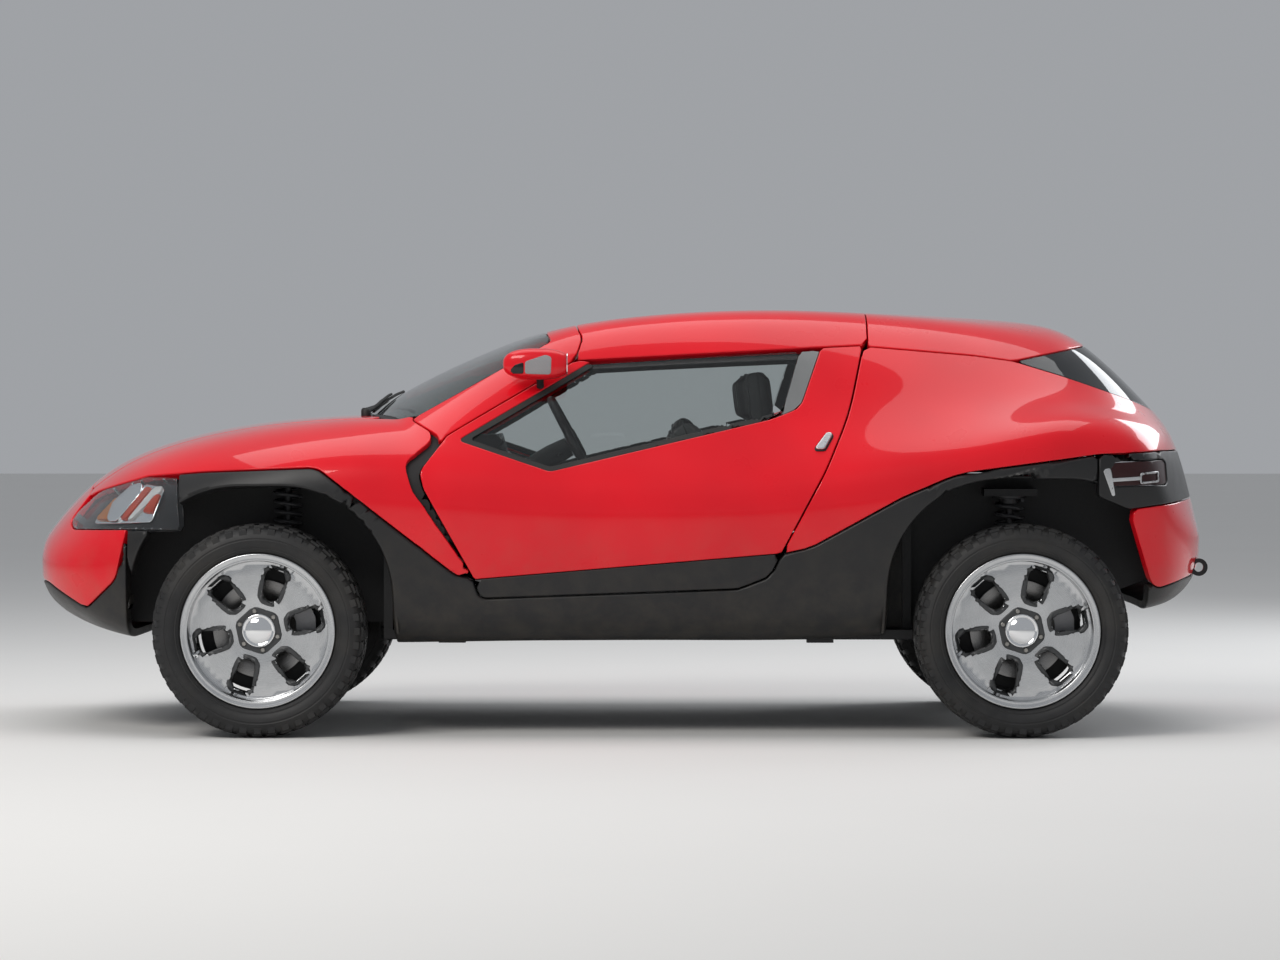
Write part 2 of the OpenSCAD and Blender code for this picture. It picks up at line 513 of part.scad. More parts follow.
// A damper with its coil drawn as ridges
coil_pitch = 32;
coil_count = 7;
module strut(low, high) {
  top = high - low;
  coil_low = top - coil_pitch * coil_count - 8;
  rotate_extrude() polygon(concat([[0, 0], [24, 0], [24, coil_low - 10], [56, coil_low - 10], [56, coil_low]],
    [for (k = [0:coil_count - 1]) each [[34, coil_low + coil_pitch * k], [52, coil_low + coil_pitch * (k + 0.5)]]],
    [[34, top - 8], [56, top - 8], [56, top], [0, top]]));
}
module front_struts() color(grey) both_sides()
  translate([front_axle_x + strut_x, front_strut_y, strut_seat + run_clear]) strut(strut_seat + run_clear, front_shelf - run_clear);
module rear_struts() color(grey) both_sides()
  translate([rear_axle_x - 20, rear_strut_y, strut_seat + run_clear]) strut(strut_seat + run_clear, rear_shelf - run_clear);
module rear_arms() color(grey) both_sides() difference() {
  union() {
    box(rear_axle_x - 42, rear_axle_x + 42, kingpin_y - 25, kingpin_y + 26, barrel_low, barrel_high);
    translate([rear_axle_x, kingpin_y, axle_z]) rotate([-90, 0, 0]) cylinder(r = stub_radius, h = half_track + 38 - kingpin_y);
    for (side = [-1, 1]) rod([rear_axle_x, kingpin_y, barrel_low + 8],
      [rear_axle_x + side * arm_pivot, rear_well_y, rail_z - 20 + rail_high / 2], 13);
    box(rear_axle_x - 90, rear_axle_x + 90, rear_strut_y - 25, rear_strut_y + 25, strut_seat - 38, strut_seat);
  }
  box(rear_axle_x - 300, rear_axle_x + 300, 0, rear_well_y + 10 + run_clear, 0, 600);
}
module knuckle() difference() {
  union() {
    translate([front_axle_x, kingpin_y, barrel_low]) cylinder(r = 30, h = barrel_high - barrel_low);
    translate([front_axle_x, kingpin_y, axle_z]) rotate([-90, 0, 0]) cylinder(r = stub_radius, h = half_track + 38 - kingpin_y);
    box(front_axle_x + 20, front_axle_x + 80, kingpin_y - 12, kingpin_y + 18, axle_z - 25, axle_z + 25);
    box(front_axle_x + 75, front_axle_x + 150, kingpin_y - 20, kingpin_y + 26, axle_z - 50, axle_z + 50);
  }
  translate([front_axle_x, kingpin_y, barrel_low - 1]) cylinder(r = ball + run_clear, h = 29);
  translate([front_axle_x, kingpin_y, barrel_high - 28]) cylinder(r = ball + run_clear, h = 29);
}
module knuckle_left() color(grey) mirror([0, 1, 0]) knuckle();
module knuckle_right() color(grey) knuckle();
rim_half = tyre_width / 2 - 12;
disc_front = 66;
window_end = rim_radius - window_margin;
window_inner = rounded([[98, -28, 24], [98, 28, 24], [window_end - 22, 50, 22], [window_end - 22, -50, 22]], 4);
window_outer = rounded([[87, -37, 33], [87, 37, 33], [window_end - 12, 60, 30], [window_end - 12, -60, 30]], 4);
module rim() {
  difference() {
    rotate_extrude() polygon([[rim_radius, -rim_half], [rim_radius, -rim_half + 8], [rim_radius - 15, -rim_half + 12],
      [rim_radius - 15, -62], [rim_radius - 33, -44], [rim_radius - 33, 26], [rim_radius - 15, 44],
      [rim_radius - 15, rim_half - 12], [rim_radius, rim_half - 8], [rim_radius, rim_half], [rim_radius - 8, rim_half],
      [rim_radius - 25, rim_half - 14], [rim_radius - 29, disc_front], [62, disc_front], [54, disc_front + 12], [0, disc_front + 16], [0, 44],
      [stub_radius + run_clear, 44], [stub_radius + run_clear, -60], [60, -60], [60, 40], [110, disc_front - 16],
      [rim_radius - 43, disc_front - 16], [rim_radius - 43, -48], [rim_radius - 25, -66], [rim_radius - 25, -rim_half + 4],
      [rim_radius - 10, -rim_half]]);
    for (k = [0:5]) rotate([0, 0, 12 + 60 * k]) translate([0, 0, 30]) linear_extrude(60)
      polygon(window_inner);
  }
  translate([0, 0, -62]) difference() {
    cylinder(r = brake_radius, h = 12);
    translate([0, 0, -1]) cylinder(r = stub_radius + run_clear, h = 14);
  }
  for (k = [0:5]) rotate([0, 0, 12 + 60 * k]) translate([0, 0, disc_front - 12]) linear_extrude(18) difference() {
    polygon(window_outer);
    polygon(window_inner);
  }
}
tyre_half = tyre_width / 2;
// Half of the tyre's outline from the bead round the tread to its middle, then its inside back to the bead
tyre_outer = [[rim_radius - 14.7, rim_half - 12.6], [rim_radius + 0.4, rim_half - 8.6], [rim_radius + 30, tyre_half],
  [tyre_radius - 26, tyre_half - 6], [tyre_radius, tyre_half - 45]];
tyre_inner = [[tyre_radius - 20, tyre_half - 50], [rim_radius - 14.7, rim_half - 36]];
function flipped(v) = [for (p = reversed(v)) [p[0], -p[1]]];
module tyre() rotate_extrude() polygon(concat(tyre_outer, flipped(tyre_outer), [for (p = reversed(tyre_inner)) [p[0], -p[1]]],
  tyre_inner));
module at_wheel(x, side) translate([x, side * half_track, axle_z]) rotate([-90 * side, 0, 0]) children();
module rim_front_left() color(silver) at_wheel(front_axle_x, -1) rim();
module rim_front_right() color(silver) at_wheel(front_axle_x, 1) rim();
module rim_rear_left() color(silver) at_wheel(rear_axle_x, -1) rim();
module rim_rear_right() color(silver) at_wheel(rear_axle_x, 1) rim();
module tyre_front_left() color(black) at_wheel(front_axle_x, -1) tyre();
module tyre_front_right() color(black) at_wheel(front_axle_x, 1) tyre();
module tyre_rear_left() color(black) at_wheel(rear_axle_x, -1) tyre();
module tyre_rear_right() color(black) at_wheel(rear_axle_x, 1) tyre();
module tow_eye() color(silver) difference() {
  union() {
    translate([tow_x, tow_y + tow_plate / 2, tow_z]) rotate([90, 0, 0]) cylinder(r = tow_ring, h = tow_plate);
    box(tow_foot + run_clear, tow_x, tow_y - tow_plate / 2, tow_y + tow_plate / 2, tow_z - 18, tow_z + 18);
  }
  translate([tow_x, tow_y + far / 2, tow_z]) rotate([90, 0, 0]) cylinder(r = tow_bore, h = far);
}

tub();
cladding();
wings();
bonnet();
cowl();
nose_cone();
front_apron();
grille();
headlamp_units();
headlamp_lenses();
windscreen_frame();
windscreen();
roof_panels();
t_bar();
rear_roof();
rear_body();
rear_window();
tail_panel();
tail_lamps();
rear_bumper();
rear_apron();
tow_eye();
dashboard();
steering_wheel();
seats();
engine();
exhaust();
front_arms();
front_struts();
rear_arms();
rear_struts();
door_left();
door_left_glass();
door_left_trim();
mirror_left();
door_right();
door_right_glass();
door_right_trim();
mirror_right();
knuckle_left();
knuckle_right();
rim_front_left();
tyre_front_left();
rim_front_right();
tyre_front_right();
rim_rear_left();
tyre_rear_left();
rim_rear_right();
tyre_rear_right();
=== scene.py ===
"""Finished look of the two-seat off-road concept car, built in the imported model's own frame."""
import logging
import math
from dataclasses import dataclass
from enum import Enum
from typing import Iterable, Optional, Sequence

import bmesh
import bpy
import numpy as np
from mathutils import Matrix, Vector


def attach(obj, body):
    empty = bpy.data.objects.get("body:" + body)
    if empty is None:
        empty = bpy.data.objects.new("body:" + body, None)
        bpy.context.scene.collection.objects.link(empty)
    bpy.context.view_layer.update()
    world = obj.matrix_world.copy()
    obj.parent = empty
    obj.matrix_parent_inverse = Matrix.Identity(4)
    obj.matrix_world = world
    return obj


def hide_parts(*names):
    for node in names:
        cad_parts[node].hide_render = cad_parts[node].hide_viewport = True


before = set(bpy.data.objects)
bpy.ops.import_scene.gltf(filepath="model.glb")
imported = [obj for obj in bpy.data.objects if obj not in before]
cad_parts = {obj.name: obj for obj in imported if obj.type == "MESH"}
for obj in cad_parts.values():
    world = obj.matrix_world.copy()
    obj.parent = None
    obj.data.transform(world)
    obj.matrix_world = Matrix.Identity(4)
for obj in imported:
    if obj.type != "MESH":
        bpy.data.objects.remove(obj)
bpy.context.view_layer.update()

LOG = logging.getLogger("concept_car")
MM = 0.001
Point = tuple[float, ...]
EVERYWHERE = (-1e6, 1e6)


class View(Enum):
    """The view in which an outline is drawn, as its two axes."""

    SIDE = (0, 2)
    PLAN = (0, 1)
    FRONT = (1, 2)


class Keep(Enum):
    """The side of an outline that a panel keeps."""

    INSIDE = 1.0
    OUTSIDE = -1.0


class Side(Enum):
    """A side of the car, as the sign of its Y."""

    LEFT = -1
    RIGHT = 1

    @property
    def word(self) -> str:
        """The side's name in lower case."""
        return self.name.lower()


# Body sections along the car in millimetres. Columns: x of the middle line, bow in plan at 900 out, z_top, then
# pairs y, z for the upper edge, the belt, the shoulder, the widest place and the sill, and last z_bottom.
SECTIONS = np.array([
    [-2016, 40, 590, 70, 589, 100, 585, 125, 579, 130, 570, 120, 560, 556],
    [-2012, 220, 640, 270, 634, 380, 615, 440, 590, 460, 560, 430, 505, 480],
    [-1988, 300, 682, 405, 668, 545, 636, 605, 602, 625, 560, 595, 466, 428],
    [-1900, 320, 785, 480, 768, 655, 718, 725, 660, 750, 585, 722, 425, 368],
    [-1750, 315, 906, 560, 890, 742, 832, 818, 760, 845, 660, 812, 420, 320],
    [-1500, 300, 1000, 610, 990, 795, 935, 880, 865, 910, 750, 862, 430, 305],
    [-1190, 285, 1055, 640, 1045, 815, 985, 893, 908, 922, 780, 866, 440, 306],
    [-935, 275, 1074, 665, 1061, 812, 985, 886, 896, 912, 756, 855, 440, 310],
    [-875, 270, 1086, 670, 1066, 811, 986, 883, 893, 910, 752, 852, 440, 310],
    [-700, 238, 1191, 680, 1130, 797, 1003, 877, 893, 908, 748, 850, 440, 312],
    [-430, 170, 1311, 640, 1252, 770, 1020, 866, 888, 904, 742, 847, 440, 315],
    [-200, 110, 1381, 592, 1340, 748, 1040, 861, 886, 902, 740, 846, 440, 316],
    [200, 30, 1426, 543, 1387, 726, 1078, 857, 887, 900, 744, 845, 440, 318],
    [650, 0, 1440, 512, 1394, 711, 1108, 858, 903, 904, 763, 846, 446, 319],
    [1150, -25, 1416, 475, 1353, 690, 1120, 872, 973, 922, 829, 855, 480, 349],
    [1450, -60, 1390, 445, 1290, 655, 1124, 856, 1036, 919, 876, 840, 514, 375],
    [1630, -102, 1320, 430, 1220, 633, 1110, 822, 1050, 893, 900, 808, 536, 392],
    [1850, -160, 1105, 420, 1075, 595, 1045, 745, 1005, 825, 890, 745, 570, 425],
    [1945, -195, 965, 405, 950, 560, 930, 680, 900, 755, 840, 695, 590, 455],
    [2006, -205, 735, 365, 728, 490, 716, 575, 700, 620, 665, 590, 595, 520],
    [2016, -40, 660, 70, 658, 100, 654, 125, 648, 130, 640, 120, 630, 626],
], dtype=float)
BOW_SCALE = 810000.0
RING = 18
HALF_RING = 9


def blend(a: np.ndarray, b: np.ndarray, c: np.ndarray, d: np.ndarray, t: np.ndarray) -> np.ndarray:
    """Point of a cubic spline span.

    Args:
        a, b, c, d: The four control values of the span.
        t: Place in the span, from 0 to 1.

    Returns:
        The blended values.
    """
    return (a * (1 - t) ** 3 + b * (3 * t ** 3 - 6 * t ** 2 + 4)
            + c * (-3 * t ** 3 + 3 * t ** 2 + 3 * t + 1) + d * t ** 3) / 6


def unit(v: np.ndarray) -> np.ndarray:
    """Rows of v made one long."""
    return v / np.maximum(np.linalg.norm(v, axis=-1, keepdims=True), 1e-12)


class Surface:
    """A surface over two parameters, in millimetres."""

    step: float = 0.02

    def points(self, u: np.ndarray, v: np.ndarray) -> np.ndarray:
        """Points of the surface.

        Args:
            u, v: Parameters, one pair a point.

        Returns:
            An array of x, y, z rows.
        """
        raise NotImplementedError

    def normals(self, u: np.ndarray, v: np.ndarray) -> np.ndarray:
        """Outward normals of the surface.

        Args:
            u, v: Parameters, one pair a point.

        Returns:
            An array of unit rows.
        """
        e = self.step
        along = self.points(u + e, v) - self.points(u - e, v)
        across = self.points(u, v + e) - self.points(u, v - e)
        return unit(np.cross(along, across))

    def lines(self, cell: float) -> tuple[np.ndarray, np.ndarray]:
        """Grid lines of the surface.

        Args:
            cell: Largest size of a grid cell in millimetres.

        Returns:
            The values of u and of v.
        """
        raise NotImplementedError


class BodySurface(Surface):
    """The smooth outer surface of the car: u runs from nose to tail, v round each section from the belly."""

    def __init__(self) -> None:
        """Prepares the control rows so that the spline passes through the sections."""
        eased = SECTIONS.copy()
        eased[1:-1] -= (SECTIONS[:-2] - 2 * SECTIONS[1:-1] + SECTIONS[2:]) / 6
        self.rows = np.vstack([2 * eased[0] - eased[1], eased, 2 * eased[-1] - eased[-2]])
        self.last = len(SECTIONS) - 1

    def _ring(self, u: np.ndarray) -> tuple[np.ndarray, np.ndarray]:
        """Section rows and their ring control points.

        Args:
            u: Places along the car.

        Returns:
            The blended rows, and an array of ring points y, z.
        """
        i = np.clip(np.floor(u).astype(int), 0, self.last - 1)
        p = self.rows
        r = blend(p[i], p[i + 1], p[i + 2], p[i + 3], (u - i)[:, None])
        zero = np.zeros(len(u))
        top = r[:, 2]
        crown = (0.55 * r[:, 3], top - 0.25 * (top - r[:, 4]))
        side = [(r[:, k], r[:, k + 1]) for k in range(3, 12, 2)]
        belly = [(0.87 * r[:, 11], r[:, 13]), (0.45 * r[:, 11], r[:, 13]), (zero, r[:, 13])]
        half = [(zero, top), crown, *side, *belly]
        ring = np.array(half + [(-y, z) for y, z in half[8:0:-1]]).transpose(2, 0, 1)
        return r, ring - (np.roll(ring, 1, 1) - 2 * ring + np.roll(ring, -1, 1)) / 6

    def points(self, u: np.ndarray, v: np.ndarray) -> np.ndarray:
        """Points of the body; beyond both ends u shrinks the last ring to its middle.

        Args:
            u, v: Parameters, one pair a point.

        Returns:
            An array of x, y, z rows.
        """
        inner = np.clip(u, 0, self.last)
        r, ring = self._ring(inner)
        j = np.floor(v).astype(int)
        near = [ring[np.arange(len(u)), (j + k) % RING] for k in (-1, 0, 1, 2)]
        yz = blend(*near, (v - j)[:, None])
        out = np.column_stack([r[:, 0] + r[:, 1] * yz[:, 0] ** 2 / BOW_SCALE, yz])
        beyond = np.maximum(inner - u, u - inner)
        if beyond.max(initial=0) > 0:
            middle = np.column_stack([r[:, 0], np.zeros(len(u)), ring[:, :, 1].mean(1)])
            out = np.where(beyond[:, None] > 0, middle + (1 - beyond[:, None]) * (out - middle), out)
        return out

    def normals(self, u: np.ndarray, v: np.ndarray) -> np.ndarray:
        """Outward normals, with the blunt ends facing straight out.

        Args:
            u, v: Parameters, one pair a point.

        Returns:
            An array of unit rows.
        """
        inner = np.clip(u, 0.03, self.last - 0.03)
        n = super().normals(inner, v)
        n[u <= 0] = (-1, 0, 0)
        n[u >= self.last] = (1, 0, 0)
        return n

    def lines(self, cell: float) -> tuple[np.ndarray, np.ndarray]:
        """Grid lines at about one cell apart, closed over both ends.

        Args:
            cell: Size of a grid cell in millimetres.

        Returns:
            The values of u and of v.
        """
        us, vs = np.arange(self.last + 1.0), np.arange(-HALF_RING, HALF_RING + 1.0)
        knots = self.points(np.repeat(us, len(vs)), np.tile(vs, len(us))).reshape(len(us), len(vs), 3)
        along = np.linalg.norm(np.diff(knots, axis=0), axis=2).max(1)
        across = np.linalg.norm(np.diff(knots, axis=1), axis=2).max(0)
        u = [np.linspace(-1, 0, 3)[:-1]]
        u += [np.linspace(i, i + 1, max(2, math.ceil(s / cell)), endpoint=False) for i, s in enumerate(along)]
        u.append(np.linspace(self.last, self.last + 1, 3))
        v = [np.linspace(j, j + 1, max(1, math.ceil(s / cell)), endpoint=False) for j, s in zip(vs[:-1], across)]
        return np.concatenate(u), np.append(np.concatenate(v), HALF_RING)


class Dish(Surface):
    """A round dish seen along its axis: u and v are its plane's coordinates, and a profile gives its height."""

    step = 0.5
    ease = 3.0

    def __init__(self, profile: Sequence[Point]) -> None:
        """Keeps the profile.

        Args:
            profile: Pairs of radius and height, from the middle outward.
        """
        self.profile = np.array(profile, dtype=float)

    def points(self, u: np.ndarray, v: np.ndarray) -> np.ndarray:
        """Points of the dish, from a smoothed profile.

        Args:
            u, v: Parameters, one pair a point.

        Returns:
            An array of x, y, z rows.
        """
        r = np.hypot(u, v)
        spread = np.linspace(-1, 1, 7) * self.ease
        radius, height = self.profile.T
        z = np.mean([np.interp(np.abs(r + s), radius, height) for s in spread], axis=0)
        return np.column_stack([u, v, z])

    def lines(self, cell: float) -> tuple[np.ndarray, np.ndarray]:
        """Square grid lines over the dish.

        Args:
            cell: Size of a grid cell in millimetres.

        Returns:
            The values of u and of v.
        """
        reach = self.profile[-1, 0] + cell
        line = np.linspace(-reach, reach, 2 * math.ceil(reach / cell) + 1)
        return line, line


def rounded(corners: Iterable[Point], steps: int = 10) -> np.ndarray:
    """An outline with rounded corners.

    Args:
        corners: Rows of a, b and corner radius.
        steps: Steps in each corner.

    Returns:
        An array of a, b rows.
    """
    rows = [tuple(c) if len(c) > 2 else (*c, 0) for c in corners]
    out: list[np.ndarray] = []
    for k, (a, b, r) in enumerate(rows):
        here = np.array([a, b], float)
        if r <= 0:
            out.append(here)
            continue
        back = unit(np.array(rows[k - 1][:2], float) - here)
        ahead = unit(np.array(rows[(k + 1) % len(rows)][:2], float) - here)
        half = math.acos(float(np.clip(back @ ahead, -1, 1))) / 2
        mid = here + unit(back + ahead) * r / math.sin(half)
        start = here + back * r / math.tan(half) - mid
        turn = -math.copysign(math.pi - 2 * half, back[0] * ahead[1] - back[1] * ahead[0])
        for f in np.linspace(0, turn, steps + 1):
            c, s = math.cos(f), math.sin(f)
            out.append(mid + (start[0] * c - start[1] * s, start[0] * s + start[1] * c))
    return np.array(out)


def outline_distance(p: np.ndarray, outline: np.ndarray) -> tuple[np.ndarray, np.ndarray]:
    """Signed distance of points from an outline.

    Args:
        p: Rows of a, b.
        outline: The closed outline's corners.

    Returns:
        The distances, positive inside, and their unit gradients.
    """
    best = np.full(len(p), 1e18)
    away = np.zeros_like(p)
    inside = np.zeros(len(p), bool)
    for a, b in zip(outline, np.roll(outline, -1, axis=0)):
        e = b - a
        w = p - a
        t = np.clip(w @ e / max(e @ e, 1e-12), 0, 1)
        d = w - t[:, None] * e
        q = (d * d).sum(1)
        near = q < best
        best[near] = q[near]
        away[near] = d[near]
        if a[1] != b[1]:
            crosses = (a[1] > p[:, 1]) != (b[1] > p[:, 1])
            inside ^= crosses & (p[:, 0] < a[0] + (p[:, 1] - a[1]) * e[0] / e[1])
    dist = np.sqrt(best)
    sign = np.where(inside, 1.0, -1.0)
    return sign * dist, sign[:, None] * unit(away)


@dataclass(frozen=True)
class Line:
    """An outline that bounds a panel in one view.

    Attributes:
        outline: The corners.
        keep: The side that is kept.
        gap: How far the panel stays off the line, in millimetres.
        view: The view in which it is drawn.
        reach: Lowest and highest value of the third axis at which the line cuts.
    """

    outline: np.ndarray
    keep: Keep = Keep.INSIDE
    gap: float = 0.0
    view: View = View.SIDE
    reach: Point = EVERYWHERE

    def depth(self, p: np.ndarray, n: np.ndarray) -> tuple[np.ndarray, np.ndarray]:
        """Depth of points within the kept side, measured along the surface.

        Args:
            p: Points.
            n: Surface normals there.

        Returns:
            The depths, and their unit gradients along the surface.
        """
        a, b = self.view.value
        third = 3 - a - b
        flat, g2 = outline_distance(p[:, (a, b)], self.outline)
        grad = np.zeros_like(p)
        grad[:, (a, b)] = g2
        grad -= (grad * n).sum(1, keepdims=True) * n
        size = np.maximum(np.linalg.norm(grad, axis=1), 0.15)
        d = self.keep.value * flat / size - self.gap
        off = (p[:, third] < self.reach[0]) | (p[:, third] > self.reach[1])
        d[off] = -self.keep.value * 1e4
        return d, self.keep.value * unit(grad)


def mesh_from_arrays(name: str, points: np.ndarray, faces: Sequence[np.ndarray],
                     normals: Optional[np.ndarray] = None) -> bpy.types.Mesh:
    """A mesh from arrays.

    Args:
        name: Name of the mesh.
        points: Points in metres.
        faces: Arrays of faces, each with one number of corners.
        normals: Normals, one a face corner in the order of the faces, or none.

    Returns:
        The mesh, shaded smooth.
    """
    mesh = bpy.data.meshes.new(name)
    faces = [f for f in faces if len(f)]
    corners = np.concatenate([f.ravel() for f in faces])
    sizes = np.concatenate([np.full(len(f), f.shape[1]) for f in faces])
    mesh.vertices.add(len(points))
    mesh.vertices.foreach_set("co", np.ascontiguousarray(points, np.float32).ravel())
    mesh.loops.add(len(corners))
    mesh.loops.foreach_set("vertex_index", corners.astype(np.int32))
    mesh.polygons.add(len(sizes))
    mesh.polygons.foreach_set("loop_start", np.concatenate([[0], np.cumsum(sizes)[:-1]]).astype(np.int32))
    mesh.polygons.foreach_set("use_smooth", np.ones(len(sizes), bool))
    mesh.update(calc_edges=True)
    if normals is not None:
        mesh.normals_split_custom_set(normals.astype(np.float32))
    return mesh


@dataclass
class Patch:
    """A triangulated patch of a surface's parameters with its depth behind the outlines.

    Attributes:
        uv: Parameters, one row a point.
        tris: Triangles.
        depth: Depth of each point within the outlines.
        grad: Direction along the surface in which the depth grows.
    """

    uv: np.ndarray
    tris: np.ndarray
    depth: np.ndarray
    grad: np.ndarray

    def split(self, level: float) -> None:
        """Adds points where the depth crosses a level.

        Args:
            level: The depth at which triangles are split.
        """
        above = self.depth[self.tris] >= level
        count = above.sum(1)
        crossing = (count == 1) | (count == 2)
        if not crossing.any():
            return
        cut, flags = self.tris[crossing], above[crossing]
        odd = np.where(count[crossing] == 1, flags.argmax(1), (~flags).argmax(1))
        k = np.arange(len(cut))
        a, b, c = cut[k, odd], cut[k, (odd + 1) % 3], cut[k, (odd + 2) % 3]
        pairs = np.sort(np.vstack([np.column_stack([a, b]), np.column_stack([a, c])]), axis=1)
        edges, inverse = np.unique(pairs, axis=0, return_inverse=True)
        inverse = inverse.ravel() + len(self.uv)
        low, high = self.depth[edges[:, 0]], self.depth[edges[:, 1]]
        t = ((level - low) / (high - low))[:, None]
        uv, grad = (v[edges[:, 0]] * (1 - t) + v[edges[:, 1]] * t for v in (self.uv, self.grad))
        self.uv = np.vstack([self.uv, uv])
        self.grad = np.vstack([self.grad, unit(grad)])
        self.depth = np.concatenate([self.depth, np.full(len(edges), level)])
        ab, ac = inverse[:len(cut)], inverse[len(cut):]
        self.tris = np.vstack([self.tris[~crossing], np.column_stack([a, ab, ac]), np.column_stack([ab, b, c]),
                               np.column_stack([ab, c, ac])])

    def keep(self, level: float) -> None:
        """Drops what lies below a level, and the points left over.

        Args:
            level: The least depth that stays.
        """
        tris = self.tris[self.depth[self.tris].min(1) >= level - 1e-9]
        used, flat = np.unique(tris, return_inverse=True)
        self.tris = flat.reshape(-1, 3)
        self.uv, self.depth, self.grad = self.uv[used], self.depth[used], self.grad[used]


@dataclass
class Panel:
    """A sheet of a surface within outlines, with rolled edges and its own thickness.

    Attributes:
        surface: The surface that it follows.
        lines: The outlines that bound it.
        thickness: Thickness in millimetres.
        sink: How far its outside lies below the surface.
        roll: Radius of its outer edges.
        cell: Size of its grid cells.
        side: The side of the car that it is on, or none for both.
    """

    surface: Surface
    lines: Sequence[Line]
    thickness: float = 28.0
    sink: float = 0.0
    roll: float = 4.0
    cell: float = 33.0
    side: Optional[Side] = None

    ROLL_STEPS = (0.15, 0.5, 1.0)

    def _start(self) -> Patch:
        """The grid of the surface near the outlines, with its depths.

        Returns:
            The patch before its edges are cut.
        """
        us, vs = self.surface.lines(self.cell)
        uv = np.column_stack([np.repeat(us, len(vs)), np.tile(vs, len(us))])
        p = self.surface.points(uv[:, 0], uv[:, 1])
        near = np.ones(len(p), bool)
        margin = 3 * self.cell
        for line in self.lines:
            if line.keep is Keep.INSIDE:
                a, b = line.view.value
                low, high = line.outline.min(0) - margin, line.outline.max(0) + margin
                near &= (p[:, a] > low[0]) & (p[:, a] < high[0]) & (p[:, b] > low[1]) & (p[:, b] < high[1])
                third = 3 - a - b
                near &= (p[:, third] > line.reach[0] - margin) & (p[:, third] < line.reach[1] + margin)
        if self.side:
            near &= p[:, 1] * self.side.value > -margin
        n = len(vs)
        i, j = np.meshgrid(np.arange(len(us) - 1), np.arange(n - 1), indexing="ij")
        q = (i * n + j).ravel()
        tris = np.vstack([np.column_stack([q, q + n, q + n + 1]), np.column_stack([q, q + n + 1, q + 1])])
        tris = tris[near[tris].all(1)]
        used, flat = np.unique(tris, return_inverse=True)
        uv, p = uv[used], p[used]
        normals = self.surface.normals(uv[:, 0], uv[:, 1])
        depth = np.full(len(p), 1e4)
        grad = np.zeros_like(p)
        for line in self.lines:
            d, g = line.depth(p, normals)
            closer = d < depth
            depth[closer], grad[closer] = d[closer], g[closer]
        if self.side:
            d = p[:, 1] * self.side.value
            closer = d < depth
            depth[closer], grad[closer] = d[closer], (0, self.side.value, 0)
        return Patch(uv, flat.reshape(-1, 3), depth, grad)

    def mesh(self, name: str) -> bpy.types.Mesh:
        """The closed mesh of the panel.

        Args:
            name: Name of the mesh.

        Returns:
            The mesh, in metres, with the attribute "edge" that holds the distance from the panel's edge.
        """
        patch = self._start()
        patch.keep(-4 * self.cell)
        patch.split(0.0)
        patch.keep(0.0)
        for step in self.ROLL_STEPS:
            patch.split(step * self.roll)
        n = self.surface.normals(patch.uv[:, 0], patch.uv[:, 1])
        p = self.surface.points(patch.uv[:, 0], patch.uv[:, 1])
        slope = np.clip(1 - patch.depth / self.roll, 0, 1)[:, None]
        fall = self.roll * (1 - np.sqrt(1 - slope ** 2))
        side = -unit(patch.grad - (patch.grad * n).sum(1, keepdims=True) * n)
        outer, inner = p - n * (self.sink + fall), p - n * (self.sink + self.thickness)
        outer_n = unit(np.sqrt(1 - slope ** 2) * n + slope * side)
        _, first, weld = np.unique(np.round(outer, 3), axis=0, return_index=True, return_inverse=True)
        tris = weld.ravel()[patch.tris]
        tris = tris[(tris[:, 0] != tris[:, 1]) & (tris[:, 1] != tris[:, 2]) & (tris[:, 2] != tris[:, 0])]
        outer, inner, outer_n, n, side = outer[first], inner[first], outer_n[first], n[first], side[first]
        edges = np.vstack([tris[:, (0, 1)], tris[:, (1, 2)], tris[:, (2, 0)]])
        size = len(outer)
        keys, back = edges[:, 0] * size + edges[:, 1], edges[:, 1] * size + edges[:, 0]
        a, b = edges[~np.isin(keys, back)].T
        walls = np.column_stack([b, a, a + size, b + size])
        inside = tris[:, ::-1]
        normals = np.vstack([outer_n[tris.ravel()], -n[inside.ravel()], side[walls.ravel() % size]])
        mesh = mesh_from_arrays(name, np.vstack([outer, inner]) * MM, [tris, inside + size, walls], normals)
        edge = mesh.attributes.new("edge", "FLOAT", "POINT")
        edge.data.foreach_set("value", np.tile(patch.depth[first], 2).astype(np.float32) * MM)
        return mesh


